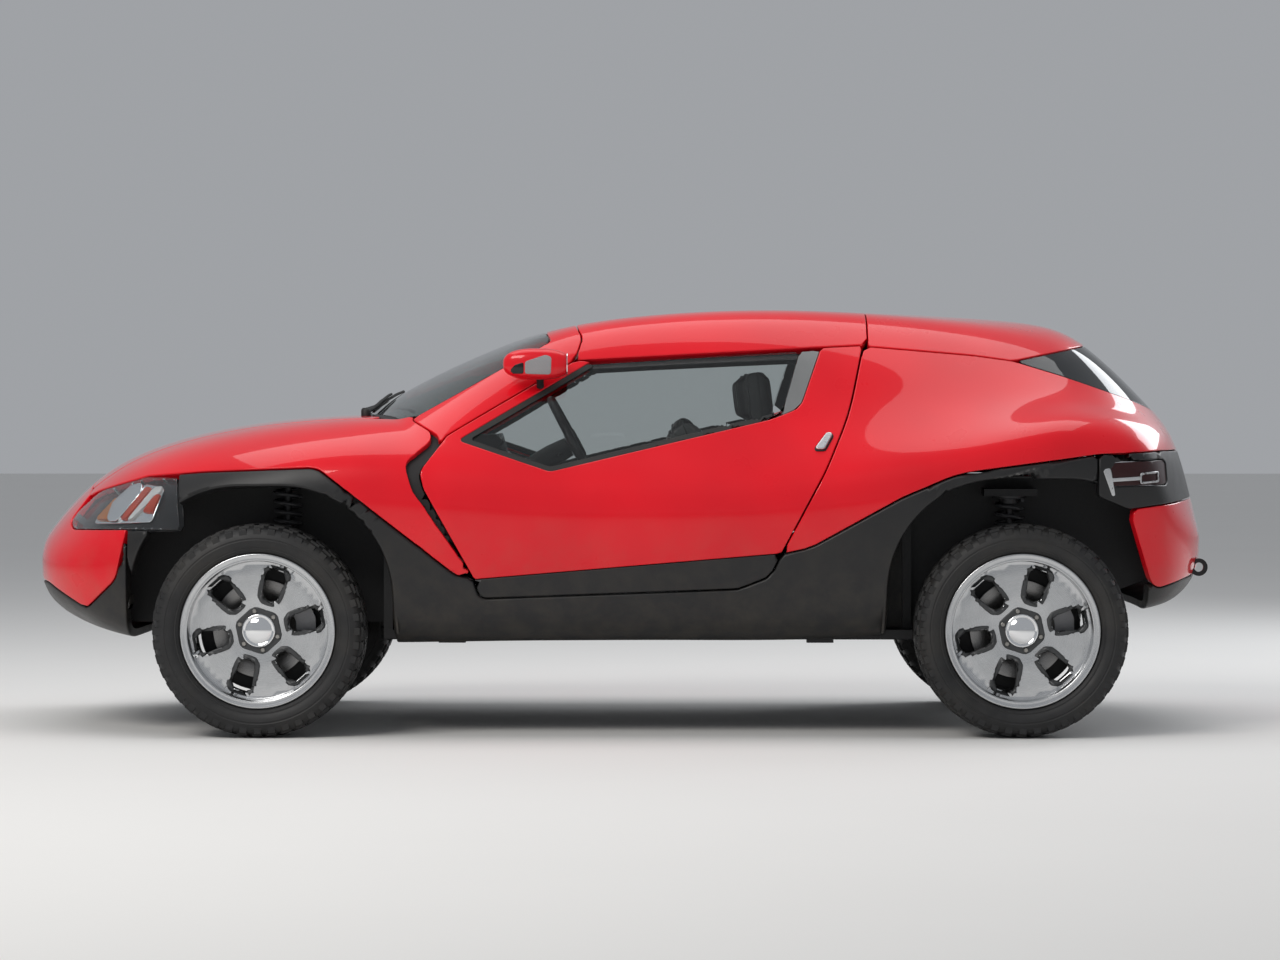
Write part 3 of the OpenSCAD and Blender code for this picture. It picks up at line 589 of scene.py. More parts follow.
class ShutLines:
    """Lines that the panels share, in side view unless named otherwise, as rows of a, b and corner radius."""

    red_edge_front = [(-1590, 868, 0), (-1385, 885, 900), (-1000, 900, 70), (-539, 540, 60), (-473, 526, 0)]
    red_edge_rear = [(545, 611, 0), (640, 631, 200), (940, 797, 300), (1130, 879, 400), (1600, 941, 0)]
    wing_rear = [(-690, 1056, 0), (-600, 1004, 30), (-708, 915, 45), (-680, 822, 80), (-473, 526, 0)]
    door_front = [(-568, 1003, 0), (-655, 885, 40), (-640, 828, 60), (-478, 536, 30), (-455, 466, 25)]
    door_bottom = [(400, 498, 60), (505, 540, 40)]
    door_rear = [(539, 612, 150), (692, 900, 800), (770, 1080, 800), (823, 1306, 0)]
    pillar_top = (-148, 1253, 60)
    roof_front = [(-188, 1460, 0), (-123, 1335, 0), (-151, 1240, 0)]
    roof_rear_x = 846
    waist = [(846, 1306, 0), (1205, 1276, 900), (1345, 1257, 0)]
    visor_top = (1646, 1320, 0)
    visor_low = [(1500, 1210, 500), (1880, 1081, 0), (2100, 1081, 0)]
    nose_low = [(-1651, 690, 0), (-1690, 520, 60), (-1802, 418, 20), (-1957, 501, 60), (-2100, 507, 0)]
    screen = [(-690, 1064, 0), (-230, 1325, 0), (-294, 1420, 0)]
    window = [(-535, 990, 8), (-225, 886, 45), (514, 1060, 80), (612, 1098, 60), (690, 1312, 0), (690, 1500, 0),
              (-60, 1500, 0), (-60, 1274, 0)]
    cowl_x = -925.0
    cowl_bow = 275.0
    cowl_half = 640.0
    screen_foot = 40.0
    nose_half = 330.0
    nose_x = -1825.0
    screen_side = (-690.0, 676.0)
    t_bar_half = 100.0
    front_axle_x = -1195.0
    rear_axle_x = 1344.0
    well_reach = 456.0

    @classmethod
    def door(cls) -> np.ndarray:
        """Outline of a whole door."""
        return rounded(cls.door_front + cls.door_bottom + cls.door_rear + [cls.pillar_top])

    @classmethod
    def door_foot(cls) -> np.ndarray:
        """The part of a door below its red edge."""
        return rounded([(-700, 300), (-700, 507), (-473, 526), (539, 612), (700, 626), (700, 300)])

    @classmethod
    def cowl_line(cls, x: float) -> list[Point]:
        """Bowed line across the car in plan.

        Args:
            x: Its place on the middle line.

        Returns:
            Points from the left to the right.
        """
        return [(x + cls.cowl_bow * y * y / BOW_SCALE, y) for y in np.linspace(-cls.cowl_half, cls.cowl_half, 41)]

    @classmethod
    def bonnet(cls) -> np.ndarray:
        """Outline of the bonnet in plan, with rounded corners.

        Returns:
            The outline.
        """
        rear = cls.cowl_line(cls.cowl_x)
        round_rear = [(*rear[0], 40)] + [p for p in rear if abs(p[1]) < cls.cowl_half - 60] + [(*rear[-1], 40)]
        return rounded([(cls.nose_x, cls.nose_half, 60), (cls.nose_x, -cls.nose_half, 60), *round_rear])

    @classmethod
    def _corner(cls) -> tuple[float, float, float]:
        """Cowl corner x, screen corner x and screen corner y in plan.

        Returns:
            The three values.
        """
        x = cls.cowl_x + cls.cowl_bow * cls.cowl_half ** 2 / BOW_SCALE
        side_x, side_y = cls.screen_side
        return x, x + cls.screen_foot, cls.cowl_half + cls.screen_foot * (side_y - cls.cowl_half) / (side_x - x)

    @classmethod
    def wing_inner(cls) -> np.ndarray:
        """The space between the wings in plan.

        Returns:
            The outline.
        """
        corner = cls._corner()[0]
        x, y = cls.screen_side
        half = [(cls.nose_x, -cls.nose_half), (corner, -cls.cowl_half), (x, -y), (-400, -y)]
        return np.array(half + [(a, -b) for a, b in reversed(half)], float)

    @classmethod
    def screen_plan(cls) -> np.ndarray:
        """The windscreen in plan.

        Returns:
            The outline.
        """
        _, sx, sy = cls._corner()
        x, y = cls.screen_side
        rest = [(sx, sy), (x, y), (x, 900), (0, 900), (0, -900), (x, -900), (x, -y), (sx, -sy)]
        return np.array(cls.cowl_line(cls.cowl_x + cls.screen_foot) + rest, float)

    @classmethod
    def cowl(cls) -> np.ndarray:
        """The cowl strip in plan.

        Returns:
            The outline.
        """
        _, sx, sy = cls._corner()
        rear = cls.cowl_line(cls.cowl_x + cls.screen_foot)[::-1]
        return np.array(cls.cowl_line(cls.cowl_x) + [(sx, sy)] + rear + [(sx, -sy)], float)

    @classmethod
    def wing(cls) -> np.ndarray:
        """Outline of a wing."""
        return rounded([(-1825, 1150), (-1825, 796), (-1777, 817, 120)] + cls.red_edge_front + cls.wing_rear[::-1]
                       + [(-690, 1150)])

    @classmethod
    def nose(cls) -> np.ndarray:
        """Outline of the nose cone."""
        return rounded([(-2100, 1000), (-1825, 1000), (-1825, 796), (-1862, 743, 60), (-1900, 684, 25)]
                       + cls.nose_low)

    @classmethod
    def apron_front(cls) -> np.ndarray:
        """Outline of the front apron."""
        return rounded(cls.nose_low[::-1] + [(-1651, 200), (-2100, 200)])

    @classmethod
    def lamp_recess(cls) -> np.ndarray:
        """Outline of the headlamp's opening."""
        return rounded([(-1651, 690), (-1900, 684, 25), (-1862, 743, 60), (-1777, 817, 120), (-1590, 868),
                        (-1480, 866), (-1460, 690)])

    @classmethod
    def cladding(cls) -> np.ndarray:
        """Outline of the lower side cladding."""
        return rounded([(-1651, 690), (-1460, 690), (-1480, 866)] + cls.red_edge_front + cls.red_edge_rear
                       + [(1600, 800), (1706, 757), (1765, 583, 60), (1780, 200), (-1651, 200)])

    @classmethod
    def well(cls, axle_x: float, top: float, rear_radius: float, spread: float) -> np.ndarray:
        """Outline of a wheel well.

        Args:
            axle_x: The axle's place.
            top: Height of the well.
            rear_radius: Radius of its rear upper corner.
            spread: How far its rear foot is further back.

        Returns:
            The outline.
        """
        r = cls.well_reach
        return rounded([(axle_x - r, 0), (axle_x - r + 20, top, 370), (axle_x + r - 20, top, rear_radius),
                        (axle_x + r + spread, 0)], 24)

    @classmethod
    def wells(cls) -> dict[str, np.ndarray]:
        """Outlines of both wheel wells."""
        return {"front": cls.well(cls.front_axle_x, 838, 370, 0), "rear": cls.well(cls.rear_axle_x, 860, 300, 40)}

    @classmethod
    def rear_body(cls) -> np.ndarray:
        """Outline of the rear body."""
        return rounded(cls.red_edge_rear[::-1] + [(560, 700)] + cls.door_rear[1:] + cls.waist + cls.visor_low
                       + [(2100, 951), (1830, 953)])

    @classmethod
    def roof(cls) -> np.ndarray:
        """Outline of the roof."""
        x = cls.roof_rear_x
        return rounded(cls.roof_front + [(823, 1290), (823, 1306), (x, 1306), (x, 1460)])

    @classmethod
    def rear_roof(cls) -> np.ndarray:
        """Outline of the rear roof."""
        return rounded([(cls.roof_rear_x, 1460)] + cls.waist + [cls.visor_top, (1750, 1460)])

    @classmethod
    def visor(cls) -> np.ndarray:
        """Outline of the rear window."""
        return rounded([(1345, 1257)] + cls.visor_low + [(2100, 1300), (1750, 1460), cls.visor_top])

    @classmethod
    def frame(cls) -> np.ndarray:
        """Outline of the windscreen frame."""
        return rounded(cls.screen + cls.roof_front + [(-600, 960), (-600, 1004, 30), (-690, 1056)])

    @classmethod
    def windscreen(cls) -> np.ndarray:
        """Outline of the windscreen."""
        return rounded([(-1000, 1000), (-740, 1000)] + cls.screen + [(-1000, 1420)])

    @classmethod
    def tail(cls) -> np.ndarray:
        """Outline of the tail panel."""
        return rounded([(1600, 941), (1830, 953), (2100, 951), (2100, 793), (1950, 787), (1706, 757, 30),
                        (1600, 800)])

    @classmethod
    def tail_lamp(cls) -> np.ndarray:
        """Outline of a tail lamp."""
        return rounded([(1640, 835, 15), (1640, 915, 15), (1850, 925, 15), (1850, 840, 15)])

    @classmethod
    def bumper(cls) -> np.ndarray:
        """Outline of the rear bumper."""
        return rounded([(2100, 793), (1950, 787), (1706, 757, 30), (1765, 583, 60), (1800, 483, 40),
                        (1960, 527, 60), (2100, 537)])

    @classmethod
    def apron_rear(cls) -> np.ndarray:
        """Outline of the rear apron."""
        return rounded([(1782.15, 534), (1800, 483, 40), (1960, 527, 60), (2100, 537), (2100, 300), (1781, 300)])


class NodeTree:
    """A node tree with a short call that adds a node and fills its inputs."""

    prefix = ""
    tree: bpy.types.NodeTree

    def fill(self, socket: bpy.types.NodeSocket, value: object) -> None:
        """Links an input to an output, or gives it a plain value.

        Args:
            socket: The input.
            value: An output or a value.
        """
        if isinstance(value, bpy.types.NodeSocket):
            self.tree.links.new(value, socket)
        else:
            socket.default_value = value

    def node(self, kind: str, out: object = 0, props: Optional[dict] = None,
             **inputs: object) -> bpy.types.NodeSocket:
        """Adds a node.

        Args:
            kind: The node's type without the tree's prefix.
            out: Name or number of the output to return.
            props: Properties of the node.
            inputs: Values or sockets for its inputs; an underscore stands for a space, and i with a number
                for the input of that number.

        Returns:
            The output socket.
        """
        node = self.tree.nodes.new(self.prefix + kind)
        for key, value in (props or {}).items():
            setattr(node, key, value)
        for key, value in inputs.items():
            name = key.replace("_", " ")
            numbered = name[0] == "i" and name[1:].isdigit()
            self.fill(node.inputs[int(name[1:]) if numbered else name], value)
        return node.outputs[out]


class Shade(NodeTree):
    """A material's node tree with short calls for the nodes used here."""

    prefix = "ShaderNode"

    def __init__(self, name: str) -> None:
        """Starts a material with one shader.

        Args:
            name: Name of the material.
        """
        self.material = bpy.data.materials.new(name)
        self.material.use_nodes = True
        self.tree = self.material.node_tree
        self.shader = self.tree.nodes["Principled BSDF"]
        self.place = self.tree.nodes.new("ShaderNodeTexCoord").outputs["Object"]

    def set(self, **values: object) -> None:
        """Sets or links inputs of the shader.

        Args:
            values: Values or sockets by the input's name; an underscore stands for a space.
        """
        for key, value in values.items():
            socket = self.shader.inputs[key.replace("_", " ")]
            if isinstance(value, tuple) and len(value) == 3 and socket.type == "RGBA":
                value = (*value, 1.0)
            self.fill(socket, value)

    def noise(self, scale: float, detail: float = 3.0, rough: float = 0.55,
              place: Optional[bpy.types.NodeSocket] = None) -> bpy.types.NodeSocket:
        """Noise value at a scale per metre."""
        at = place or self.place
        return self.node("TexNoise", "Fac", Vector=at, Scale=scale, Detail=detail, Roughness=rough)

    def stretched(self, x: float, y: float, z: float) -> bpy.types.NodeSocket:
        """The place scaled along each axis."""
        return self.node("Mapping", Vector=self.place, Scale=(x, y, z))

    def spread(self, value: bpy.types.NodeSocket, low: float, high: float, to_low: float,
               to_high: float) -> bpy.types.NodeSocket:
        """A value mapped from one range to another, clamped."""
        return self.node("MapRange", Value=value, From_Min=low, From_Max=high, To_Min=to_low, To_Max=to_high)

    def mix(self, factor: bpy.types.NodeSocket, a: object, b: object) -> bpy.types.NodeSocket:
        """A colour between two others."""
        a, b = ((*c, 1.0) if isinstance(c, tuple) else c for c in (a, b))
        return self.node("Mix", 2, {"data_type": "RGBA"}, i0=factor, i6=a, i7=b)

    def math(self, operation: str, a: object, b: object = 0.0) -> bpy.types.NodeSocket:
        """A sum, product or other operation of two values."""
        return self.node("Math", 0, {"operation": operation}, i0=a, i1=b)

    def bump(self, height: bpy.types.NodeSocket, strength: float, distance: float,
             below: Optional[bpy.types.NodeSocket] = None) -> bpy.types.NodeSocket:
        """A normal raised by a height in metres."""
        extra = {"Normal": below} if below else {}
        return self.node("Bump", 0, None, Height=height, Strength=strength, Distance=distance, **extra)

    def height_above(self) -> bpy.types.NodeSocket:
        """Height above the ground in metres."""
        return self.node("SeparateXYZ", "Z", Vector=self.place)


_MATERIALS: dict[str, bpy.types.Material] = {}


@dataclass(frozen=True)
class Finish:
    """A plain finish; its kinds add their own detail.

    Attributes:
        name: Name of the material.
        color: Base colour, linear.
        roughness: Mean roughness.
        metallic: 1 for bare metal.
        slot: Not used.
    """

    name: str
    color: Point
    roughness: float = 0.5
    metallic: float = 0.0
    slot: str = ""

    def material(self) -> bpy.types.Material:
        """The finish's material, made once.

        Returns:
            The material.
        """
        if self.name not in _MATERIALS:
            shade = Shade(self.name)
            shade.set(Base_Color=self.color, Roughness=self.roughness, Metallic=self.metallic)
            self.detail(shade)
            _MATERIALS[self.name] = shade.material
        return _MATERIALS[self.name]

    def detail(self, shade: Shade) -> None:
        """Adds the finish's own nodes.

        Args:
            shade: The material's node tree.
        """

    def tone(self, factor: float) -> Point:
        """The base colour made darker or lighter."""
        return tuple(min(1.0, c * factor) for c in self.color)


DUST = (0.23, 0.185, 0.125)


@dataclass(frozen=True)
class Paint(Finish):
    """Gloss paint under clear coat, with fine flake and a breath of road dust low down."""

    def detail(self, shade: Shade) -> None:
        """Adds flake, drift of tone, orange peel and dust.

        Args:
            shade: The material's node tree.
        """
        flake = shade.node("TexVoronoi", "Color", Vector=shade.place, Scale=2600.0)
        value = shade.node("SeparateXYZ", "X", Vector=flake)
        drift = shade.spread(shade.noise(2.2, 2.0), 0.3, 0.7, 0.0, 1.0)
        base = shade.mix(drift, self.tone(0.9), self.tone(1.06))
        base = shade.mix(shade.spread(value, 0.86, 1.0, 0.0, 0.12), base, self.tone(1.35))
        low = shade.spread(shade.height_above(), 0.40, 0.78, 0.20, 0.0)
        dust = shade.math("MULTIPLY", low, shade.spread(shade.noise(9.0, 6.0), 0.42, 0.7, 0.0, 1.0))
        sheen = shade.spread(shade.noise(5.0, 4.0), 0.3, 0.7, self.roughness - 0.04, self.roughness + 0.05)
        peel = shade.bump(shade.noise(260.0, 1.0), 0.012, 0.0006)
        shade.set(Base_Color=shade.mix(dust, base, DUST), Roughness=sheen, Specular_IOR_Level=0.15, Coat_Weight=1.0,
                  Coat_Roughness=0.03, Coat_IOR=1.38, Coat_Normal=peel)


@dataclass(frozen=True)
class Moulding(Finish):
    """Grained black plastic with soft wear and dust towards the road.

    Attributes:
        grain: Grain cells per metre.
        depth: Grain strength.
        dust: Share of dust near the road.
    """

    grain: float = 620.0
    depth: float = 0.22
    dust: float = 0.12

    def detail(self, shade: Shade) -> None:
        """Adds grain, patches of sheen and dust.

        Args:
            shade: The material's node tree.
        """
        cells = shade.node("TexVoronoi", "Distance", {"feature": "DISTANCE_TO_EDGE"}, Vector=shade.place,
                           Scale=self.grain)
        grain = shade.spread(cells, 0.0, 0.28, 0.0, 1.0)
        patch = shade.noise(6.0, 5.0, 0.6)
        low = shade.spread(shade.height_above(), 0.30, 0.75, self.dust, 0.0)
        dust = shade.math("MULTIPLY", low, shade.spread(shade.noise(14.0, 7.0, 0.62), 0.4, 0.72, 0.0, 1.0))
        base = shade.mix(shade.spread(patch, 0.35, 0.7, 0.0, 1.0), self.color, self.tone(1.5))
        shade.set(Base_Color=shade.mix(dust, base, DUST),
                  Roughness=shade.spread(patch, 0.3, 0.72, self.roughness - 0.07, self.roughness + 0.08),
                  Normal=shade.bump(grain, self.depth, 0.0004))


@dataclass(frozen=True)
class Glass(Finish):
    """Polished glass or clear plastic that light goes through.

    Attributes:
        clear: Share of the light that goes through.
        index: Index of refraction.
        waviness: Strength of moulded ripples, 0 for plain glass.
    """

    clear: float = 1.0
    index: float = 1.45
    waviness: float = 0.0

    def detail(self, shade: Shade) -> None:
        """Adds transmission, a film of dust and moulded ripples.

        Args:
            shade: The material's node tree.
        """
        film = shade.spread(shade.noise(4.0, 6.0, 0.6), 0.45, 0.8, self.roughness, self.roughness + 0.012)
        shade.set(Transmission_Weight=self.clear, IOR=self.index, Roughness=film)
        if self.waviness:
            ripple = shade.node("TexWave", "Fac", {"wave_type": "BANDS", "bands_direction": "DIAGONAL"},
                                Vector=shade.place, Scale=55.0, Distortion=0.4)
            shade.set(Normal=shade.bump(ripple, self.waviness, 0.001))


@dataclass(frozen=True)
class Metal(Finish):
    """Bare metal with brushed, cast or turned texture.

    Attributes:
        grain: Texture cells per metre along each axis.
        depth: Bump strength.
        stain: Share of darker patches.
    """

    grain: Point = (90.0, 90.0, 90.0)
    depth: float = 0.05
    stain: float = 0.25

    def detail(self, shade: Shade) -> None:
        """Adds directional grain, stains and a change of roughness.

        Args:
            shade: The material's node tree.
        """
        grain = shade.noise(1.0, 5.0, 0.65, shade.stretched(*self.grain))
        patch = shade.spread(shade.noise(11.0, 5.0, 0.6), 0.42, 0.75, 0.0, self.stain)
        low, high = max(0.02, self.roughness - 0.08), self.roughness + 0.1
        shade.set(Base_Color=shade.mix(patch, self.color, self.tone(0.55)),
                  Roughness=shade.spread(grain, 0.25, 0.75, low, high),
                  Normal=shade.bump(grain, self.depth, 0.0006))


@dataclass(frozen=True)
class Rubber(Finish):
    """Tyre rubber with scuffs and dry dust."""

    def detail(self, shade: Shade) -> None:
        """Adds scuffs, fine pitting and dust.

        Args:
            shade: The material's node tree.
        """
        scuff = shade.spread(shade.noise(18.0, 8.0, 0.65), 0.40, 0.72, 0.0, 1.0)
        dust = shade.spread(shade.noise(5.0, 6.0, 0.6), 0.48, 0.82, 0.0, 0.18)
        base = shade.mix(scuff, self.color, self.tone(2.2))
        shade.set(Base_Color=shade.mix(dust, base, (0.12, 0.105, 0.08)),
                  Roughness=shade.spread(scuff, 0.0, 1.0, self.roughness, self.roughness + 0.14),
                  Normal=shade.bump(shade.noise(420.0, 4.0), 0.10, 0.0006))


@dataclass(frozen=True)
class Hide(Finish):
    """Grained leather with soft creases."""

    def detail(self, shade: Shade) -> None:
        """Adds pebble grain, creases and a change of sheen.

        Args:
            shade: The material's node tree.
        """
        cells = shade.node("TexVoronoi", "Distance", {"feature": "DISTANCE_TO_EDGE"}, Vector=shade.place,
                           Scale=330.0)
        pebble = shade.spread(cells, 0.0, 0.22, 0.0, 1.0)
        crease = shade.noise(24.0, 5.0, 0.6)
        normal = shade.bump(crease, 0.16, 0.004, shade.bump(pebble, 0.30, 0.0007))
        worn = shade.mix(shade.spread(crease, 0.35, 0.7, 0.0, 1.0), self.color, self.tone(1.7))
        sheen = shade.spread(crease, 0.3, 0.7, self.roughness - 0.05, self.roughness + 0.1)
        shade.set(Base_Color=worn, Roughness=sheen, Normal=normal)


@dataclass(frozen=True)
class Carpet(Finish):
    """Short looped pile."""

    def detail(self, shade: Shade) -> None:
        """Adds loops and a drift of tone.

        Args:
            shade: The material's node tree.
        """
        loops = shade.node("TexVoronoi", "Distance", Vector=shade.place, Scale=300.0)
        pile = shade.mix(shade.spread(loops, 0.0, 0.6, 0.0, 1.0), self.tone(1.8), self.tone(0.5))
        shade.set(Base_Color=pile, Normal=shade.bump(loops, 0.6, 0.003))


@dataclass(frozen=True)
class Turned(Finish):
    """Metal turned on a lathe: rings about the wheel's own axle, which runs along Y.

    Attributes:
        centre: The axle's place.
        rings: Rings per metre of radius.
        depth: Bump strength.
    """

    centre: Point = (0.0, 0.0, 0.0)
    rings: float = 900.0
    depth: float = 0.04

    def detail(self, shade: Shade) -> None:
        """Adds rings and a haze of brake dust.

        Args:
            shade: The material's node tree.
        """
        x, y, z = self.centre
        local = shade.node("Mapping", Vector=shade.place, Location=(-x, -y, -z))
        parts = shade.tree.nodes.new("ShaderNodeSeparateXYZ")
        shade.tree.links.new(local, parts.inputs[0])
        squares = [shade.math("MULTIPLY", parts.outputs[axis], parts.outputs[axis]) for axis in "XZ"]
        radius = shade.math("SQRT", shade.math("ADD", *squares))
        rings = shade.node("TexNoise", "Fac", {"noise_dimensions": "1D"}, W=radius, Scale=self.rings, Detail=4.0)
        haze = shade.spread(shade.noise(16.0, 6.0, 0.6), 0.45, 0.8, 0.0, 0.22)
        low, high = max(0.03, self.roughness - 0.06), self.roughness + 0.08
        shade.set(Base_Color=shade.mix(haze, self.color, self.tone(0.45)),
                  Roughness=shade.spread(rings, 0.3, 0.7, low, high),
                  Normal=shade.bump(rings, self.depth, 0.0004))


class Finishes:
    """The car's finishes."""

    red = Paint("red_gloss_paint", (0.78, 0.004, 0.014), 0.30, 0.0, "red_paint")
    cladding = Moulding("black_cladding_plastic", (0.0075, 0.0075, 0.008), 0.42, 0.0, "black_cladding")
    inner_black = Moulding("black_inner_plastic", (0.006, 0.006, 0.0065), 0.62, 0.0, "black_structure",
                           grain=420.0, dust=0.18)
    gloss_black = Moulding("black_gloss_trim", (0.004, 0.004, 0.0045), 0.16, 0.0, "black_structure",
                           grain=900.0, depth=0.02, dust=0.05)
    seal = Rubber("black_rubber_seal", (0.008, 0.008, 0.008), 0.6, 0.0, "black_structure")
    structure = Metal("black_coated_steel", (0.012, 0.012, 0.013), 0.55, 0.0, "dark_metal",
                      grain=(140.0, 140.0, 140.0), depth=0.12)
    tinted = Glass("tinted_glass", (0.80, 0.84, 0.83), 0.0, 0.0, "tinted_glass")
    screen = Glass("windscreen_glass", (0.55, 0.60, 0.59), 0.0, 0.0, "tinted_glass")
    dark_glass = Glass("dark_tailgate_glass", (0.10, 0.11, 0.12), 0.02, 0.0, "tinted_glass", clear=0.85)
    lens = Glass("clear_lamp_cover", (0.93, 0.95, 0.96), 0.0, 0.0, "clear_glass")
    amber = Glass("amber_lens", (0.95, 0.32, 0.02), 0.06, 0.0, "clear_glass", clear=0.55, waviness=0.4)
    orange = Glass("orange_reflector", (0.75, 0.075, 0.02), 0.12, 0.0, "red_lens", clear=0.25, waviness=0.5)
    white_band = Moulding("white_lamp_band", (0.75, 0.75, 0.74), 0.3, 0.0, "satin_silver",
                          grain=300.0, depth=0.05, dust=0.0)
    grey_lens = Glass("grey_side_lens", (0.42, 0.43, 0.44), 0.08, 0.0, "clear_glass", clear=0.3, waviness=0.3)
    ruby = Glass("dark_red_lens", (0.05, 0.005, 0.006), 0.04, 0.0, "red_lens", clear=0.45, waviness=0.2)
    chrome = Metal("lamp_reflector", (0.86, 0.87, 0.88), 0.08, 1.0, "satin_silver",
                   grain=(40.0, 40.0, 40.0), depth=0.01, stain=0.05)
    satin = Metal("satin_aluminium", (0.62, 0.63, 0.64), 0.30, 1.0, "satin_silver",
                  grain=(30.0, 400.0, 400.0), depth=0.03, stain=0.1)
    grey_satin = Metal("grey_satin_trim", (0.22, 0.225, 0.225), 0.38, 0.6, "satin_silver",
                       grain=(300.0, 300.0, 300.0), depth=0.03)
    frame_grey = Metal("grey_frame_coat", (0.060, 0.062, 0.064), 0.42, 0.35, "dark_metal",
                       grain=(300.0, 300.0, 300.0), depth=0.04)
    cast = Metal("cast_metal", (0.085, 0.085, 0.088), 0.55, 0.8, "dark_metal",
                 grain=(260.0, 260.0, 260.0), depth=0.25)
    steel = Metal("exhaust_steel", (0.40, 0.385, 0.36), 0.32, 1.0, "steel",
                  grain=(24.0, 300.0, 300.0), depth=0.05, stain=0.5)
    spring = Paint("spring_coat", (0.055, 0.056, 0.06), 0.4, 0.0, "dark_metal")
    caliper = Metal("caliper_casting", (0.30, 0.30, 0.31), 0.45, 0.9, "dark_metal",
                    grain=(200.0, 200.0, 200.0), depth=0.2)
    rubber = Rubber("tyre_rubber", (0.0085, 0.0085, 0.009), 0.52, 0.0, "tyre_rubber")
    hide = Hide("black_leather", (0.012, 0.012, 0.0125), 0.42, 0.0, "seat_leather")
    hide_grey = Hide("grey_leather", (0.05, 0.05, 0.052), 0.45, 0.0, "seat_leather")
    thread = Rubber("grey_thread", (0.18, 0.18, 0.18), 0.7, 0.0, "seat_leather")
    carpet = Carpet("dark_carpet", (0.010, 0.010, 0.011), 0.95, 0.0, "seat_leather")
    mirror = Metal("mirror_glass", (0.80, 0.82, 0.84), 0.02, 1.0, "satin_silver",
                   grain=(5.0, 5.0, 5.0), depth=0.0, stain=0.02)


def place(mesh: bpy.types.Mesh, finish: Finish, *nodes: str, body: str = "body",
          slot: str = "") -> bpy.types.Object:
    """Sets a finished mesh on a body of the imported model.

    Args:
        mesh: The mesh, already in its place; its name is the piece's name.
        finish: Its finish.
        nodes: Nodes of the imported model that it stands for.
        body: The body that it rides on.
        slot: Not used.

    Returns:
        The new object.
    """
    piece = bpy.data.objects.new(mesh.name, mesh)
    bpy.context.scene.collection.objects.link(piece)
    mesh.materials.clear()
    mesh.materials.append(finish.material())
    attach(piece, body)
    if nodes:
        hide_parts(*nodes)
    LOG.info("%s on %s: %d faces", piece.name, body, len(mesh.polygons))
    return piece


